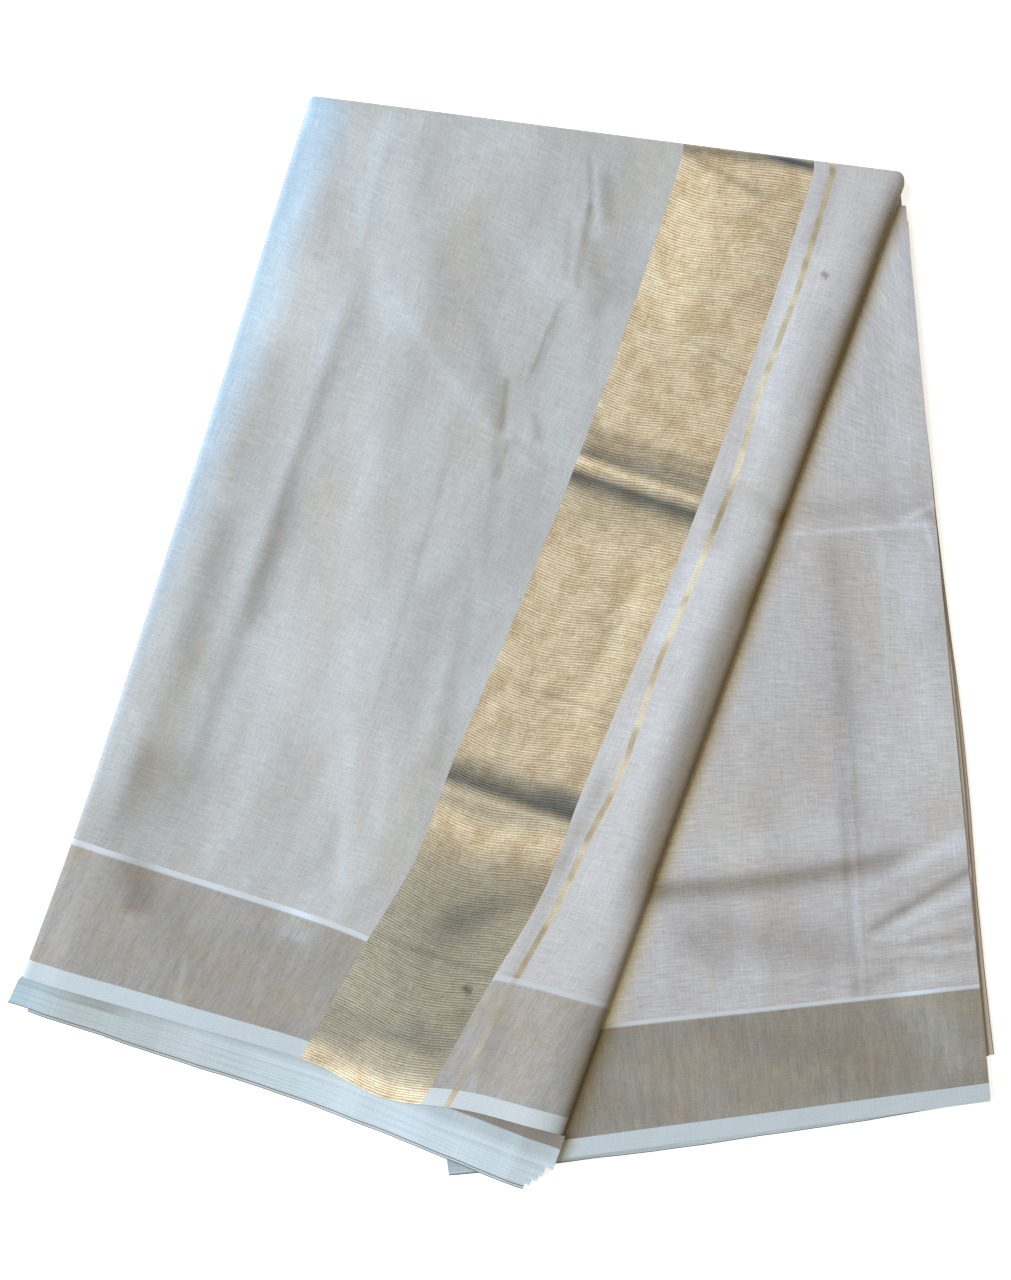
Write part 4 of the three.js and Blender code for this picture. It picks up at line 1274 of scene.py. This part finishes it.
def side_piece(number, layers=2):
    """Both folded layers of one side solid, as closed lofts with flat ends."""
    points, faces, woven, count = [], [], [], 0
    caps = []
    for layer in range(layers):
        grid, flat = side_fold(number, layer, layers)
        rings, around = grid.shape[:2]
        faces.append(loft_faces(rings, around) + count)
        caps.append(list(range(count, count + around)))
        caps.append(list(range(count + rings * around - 1, count + (rings - 1) * around - 1, -1)))
        points.append(grid.reshape(-1, 3))
        woven.append(flat.reshape(-1, 2))
        count += rings * around
    corners = [list(face) for face in np.concatenate(faces)] + caps
    return np.concatenate(points), corners, np.concatenate(woven)


def make_loft(name, points, corners, woven):
    """A mesh from faces of any number of corners, in millimetres."""
    mesh = bpy.data.meshes.new(name)
    mesh.from_pydata((points * MM).tolist(), [], corners)
    layer = mesh.uv_layers.new(name="cloth")
    order = np.concatenate(corners)
    layer.uv.foreach_set("vector", (woven[order] * MM).astype(np.float32).ravel())
    mesh.polygons.foreach_set("use_smooth", np.ones(len(corners), bool))
    mesh.set_sharp_from_angle(angle=math.radians(40))
    return mesh


for number in range(len(SIDE_FOLDS)):
    node = f"lower_side_fold_{number + 1}"
    name = f"{node}_cloth"
    piece = place(name, make_loft(name, *side_piece(number)), FOLDED)
    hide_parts(node)

# %% [markdown]
# ## The hidden layers
# Under the cloth that shows, the other layers are one rounded solid for each half. Their sides
# show from low down as a stack of folds, so the wall between top and foot is a row of rings
# that go in and out like a pile of folded sheets.

# %% Rounded solids with layered sides
CORE_TURN = math.pi / 2
FOOT, ROLL_SHARE, FOOT_START = 0.011, 0.03, 3  # how far in the upper one's foot stays
CORE_RINGS = 36
CORE_INSET = 5  # the lower half's hidden layers stay this far in from its sides
NOTCH = 0.001  # share of the length in which they step in past the side folds


def layered_block(name, top, foot):
    """Top grid, foot grid and a wall of rings between their rims. Each ring is a blend of the two
    rims, moved outwards by |sin(pi z / pitch)| and held back to nothing at both ends."""
    rows, columns = top.shape[:2]
    upper, lower = (np.stack([rim_of(g[..., i]) for i in range(3)], axis=1) for g in (top, foot))
    run = unit(np.roll(lower, -1, axis=0)[:, :2] - np.roll(lower, 1, axis=0)[:, :2])
    outwards = np.stack([run[:, 1], -run[:, 0]], axis=1)
    rings = []
    for share in np.linspace(0, 1, CORE_RINGS + 1)[1:-1]:
        ring = lerp(upper, lower, share)
        bulge = LAYER_SIZE * np.abs(np.sin(math.pi * ring[:, 2] / LAYER_PITCH))
        ring[:, :2] += outwards * (bulge * smooth(share * 8) * smooth((1 - share) * 8))[:, None]
        rings.append(ring)
    points = np.concatenate([top.reshape(-1, 3), foot.reshape(-1, 3), *rings])
    return make_mesh(name, points, shell_faces(rows, columns, CORE_RINGS), sharp=60)


def upper_block():
    """The upper half's hidden layers, with the rounded nose inside the top fold."""
    columns = joined(-np.linspace(0, CORE_TURN, 7), np.linspace(0, 1, 70), 1 + np.linspace(0, CORE_TURN, 7))
    rows = joined(-np.linspace(0, math.pi, 17), np.linspace(0, 1, 100))
    column, row = np.meshgrid(columns, rows)
    flat = np.clip(column, 0, 1)
    end = upper_edge(flat) - (LEAF_DEPTH + 1) / upper_length(flat)
    top = upper_point(column, np.where(row < 0, row, row * end), BACKING)
    share = lerp(ROLL_SHARE, 1 - ROLL_SHARE, flat) + ROLL_SHARE * (column - flat) / CORE_TURN
    across = lerp(FOOT, 1 - FOOT, share)
    order = np.linspace(0, 1, len(rows))[:, None] + 0 * column
    start = FOOT_START / upper_length(across)
    end = upper_edge(across) - (LEAF_DEPTH + 1) / upper_length(across)
    plan = upper_plan(across, lerp(start, end, order))
    return top, np.dstack([plan, np.full(column.shape, TABLE_GAP)])


def lower_block():
    """The lower half's hidden layers, inside its layered and folded edges."""
    start, begin = (HALF + 1) / lower_length, SIDE_START
    end = 1 - (LEAF_DEPTH + 1) / lower_length
    rows = np.concatenate([[start, begin - 2 * NOTCH, begin - NOTCH], np.linspace(begin, end, 90)[1:]])
    column, row = np.meshgrid(np.linspace(0, 1, 60), rows)
    width = distance(lower_plan(0 * row, row), lower_plan(0 * row + 1, row))
    right = np.where(row < begin - 1.5 * NOTCH, CORE_INSET, SIDE_DEPTH + SIDE_GAP)
    plan = lower_plan(lerp(CORE_INSET / width, 1 - right / width, column), row)
    top = np.dstack([plan, lower_height(plan, BACKING)])
    return top, np.dstack([plan, np.zeros(column.shape)])


for name, block in (("upper_hidden_layers", upper_block()), ("lower_hidden_layers", lower_block())):
    piece = place(name, layered_block(name, *block), HIDDEN)
    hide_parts("hidden_layers")
    print(name, len(piece.data.polygons), "faces")

# %% [markdown]
# ## Floor, light and camera
# The stack lies on a plain white floor, which glows a little so that it stays white. A large cool
# lamp on the left, half way up, is the window: it brightens the left roll, draws the creases, and
# leaves the right roll's side in shade. What reaches that shade is a weak, warm light from the
# right.

# %% Floor
floor_mesh = bpy.data.meshes.new("floor")
SIDE = 4.0  # half the floor's width, in metres
FLOOR_DROP = 0.0002  # keeps it clear of the underside
floor_corners = [(-SIDE, -SIDE, 0), (SIDE, -SIDE, 0), (SIDE, SIDE, 0), (-SIDE, SIDE, 0)]
floor_mesh.from_pydata(floor_corners, [], [(0, 1, 2, 3)])
floor = bpy.data.objects.new("floor", floor_mesh)
bpy.context.scene.collection.objects.link(floor)
floor.location.z = -FLOOR_DROP
plain = Finish("floor")
paper = {"Base Color": (0.97, 0.97, 0.97, 1), "Roughness": 0.9}
paper.update({"Emission Color": (1.0, 1.0, 1.0, 1), "Emission Strength": 0.6})
plain.node("ShaderNodeOutputMaterial", {}, {0: plain.node("ShaderNodeBsdfPrincipled", {}, paper)})
floor_mesh.materials.append(plain.material)


# %% Lights and camera
def lamp(name, azimuth, elevation, away, size, power, color):
    """An area lamp at a direction and distance from the saree, turned to face it."""
    light = bpy.data.lights.new(name, "AREA")
    light.energy, light.size, light.color = power, size, color
    holder = bpy.data.objects.new(name, light)
    a, e = math.radians(azimuth), math.radians(elevation)
    way = np.array([math.cos(a) * math.cos(e), math.sin(a) * math.cos(e), math.sin(e)])
    holder.location = way * away
    holder.rotation_euler = (math.pi / 2 - e, 0, a + math.pi / 2)
    bpy.context.scene.collection.objects.link(holder)


lamp("window", 168, 52, 3.0, 2.2, 92, (0.82, 0.90, 1.0))
lamp("room", -5, 45, 3.0, 2.0, 5, (1.0, 0.80, 0.55))

world = bpy.data.worlds.new("room")
bpy.context.scene.world = world
world.use_nodes = True
world.node_tree.nodes["Background"].inputs["Color"].default_value = (1.0, 0.86, 0.66, 1)
world.node_tree.nodes["Background"].inputs["Strength"].default_value = 0.28

VIEW_HEIGHT = 1.2
VIEW_CENTRE = 0.00372, 0.00171
FRAME_HEIGHT = 0.76735  # of the floor that the picture takes in, top to bottom
camera_data = bpy.data.cameras.new("camera")
camera_data.lens = camera_data.sensor_width * VIEW_HEIGHT / FRAME_HEIGHT
camera = bpy.data.objects.new("camera", camera_data)
camera.location = (*VIEW_CENTRE, VIEW_HEIGHT)
bpy.context.scene.collection.objects.link(camera)
bpy.context.scene.camera = camera
bpy.context.scene.view_settings.view_transform = "Standard"
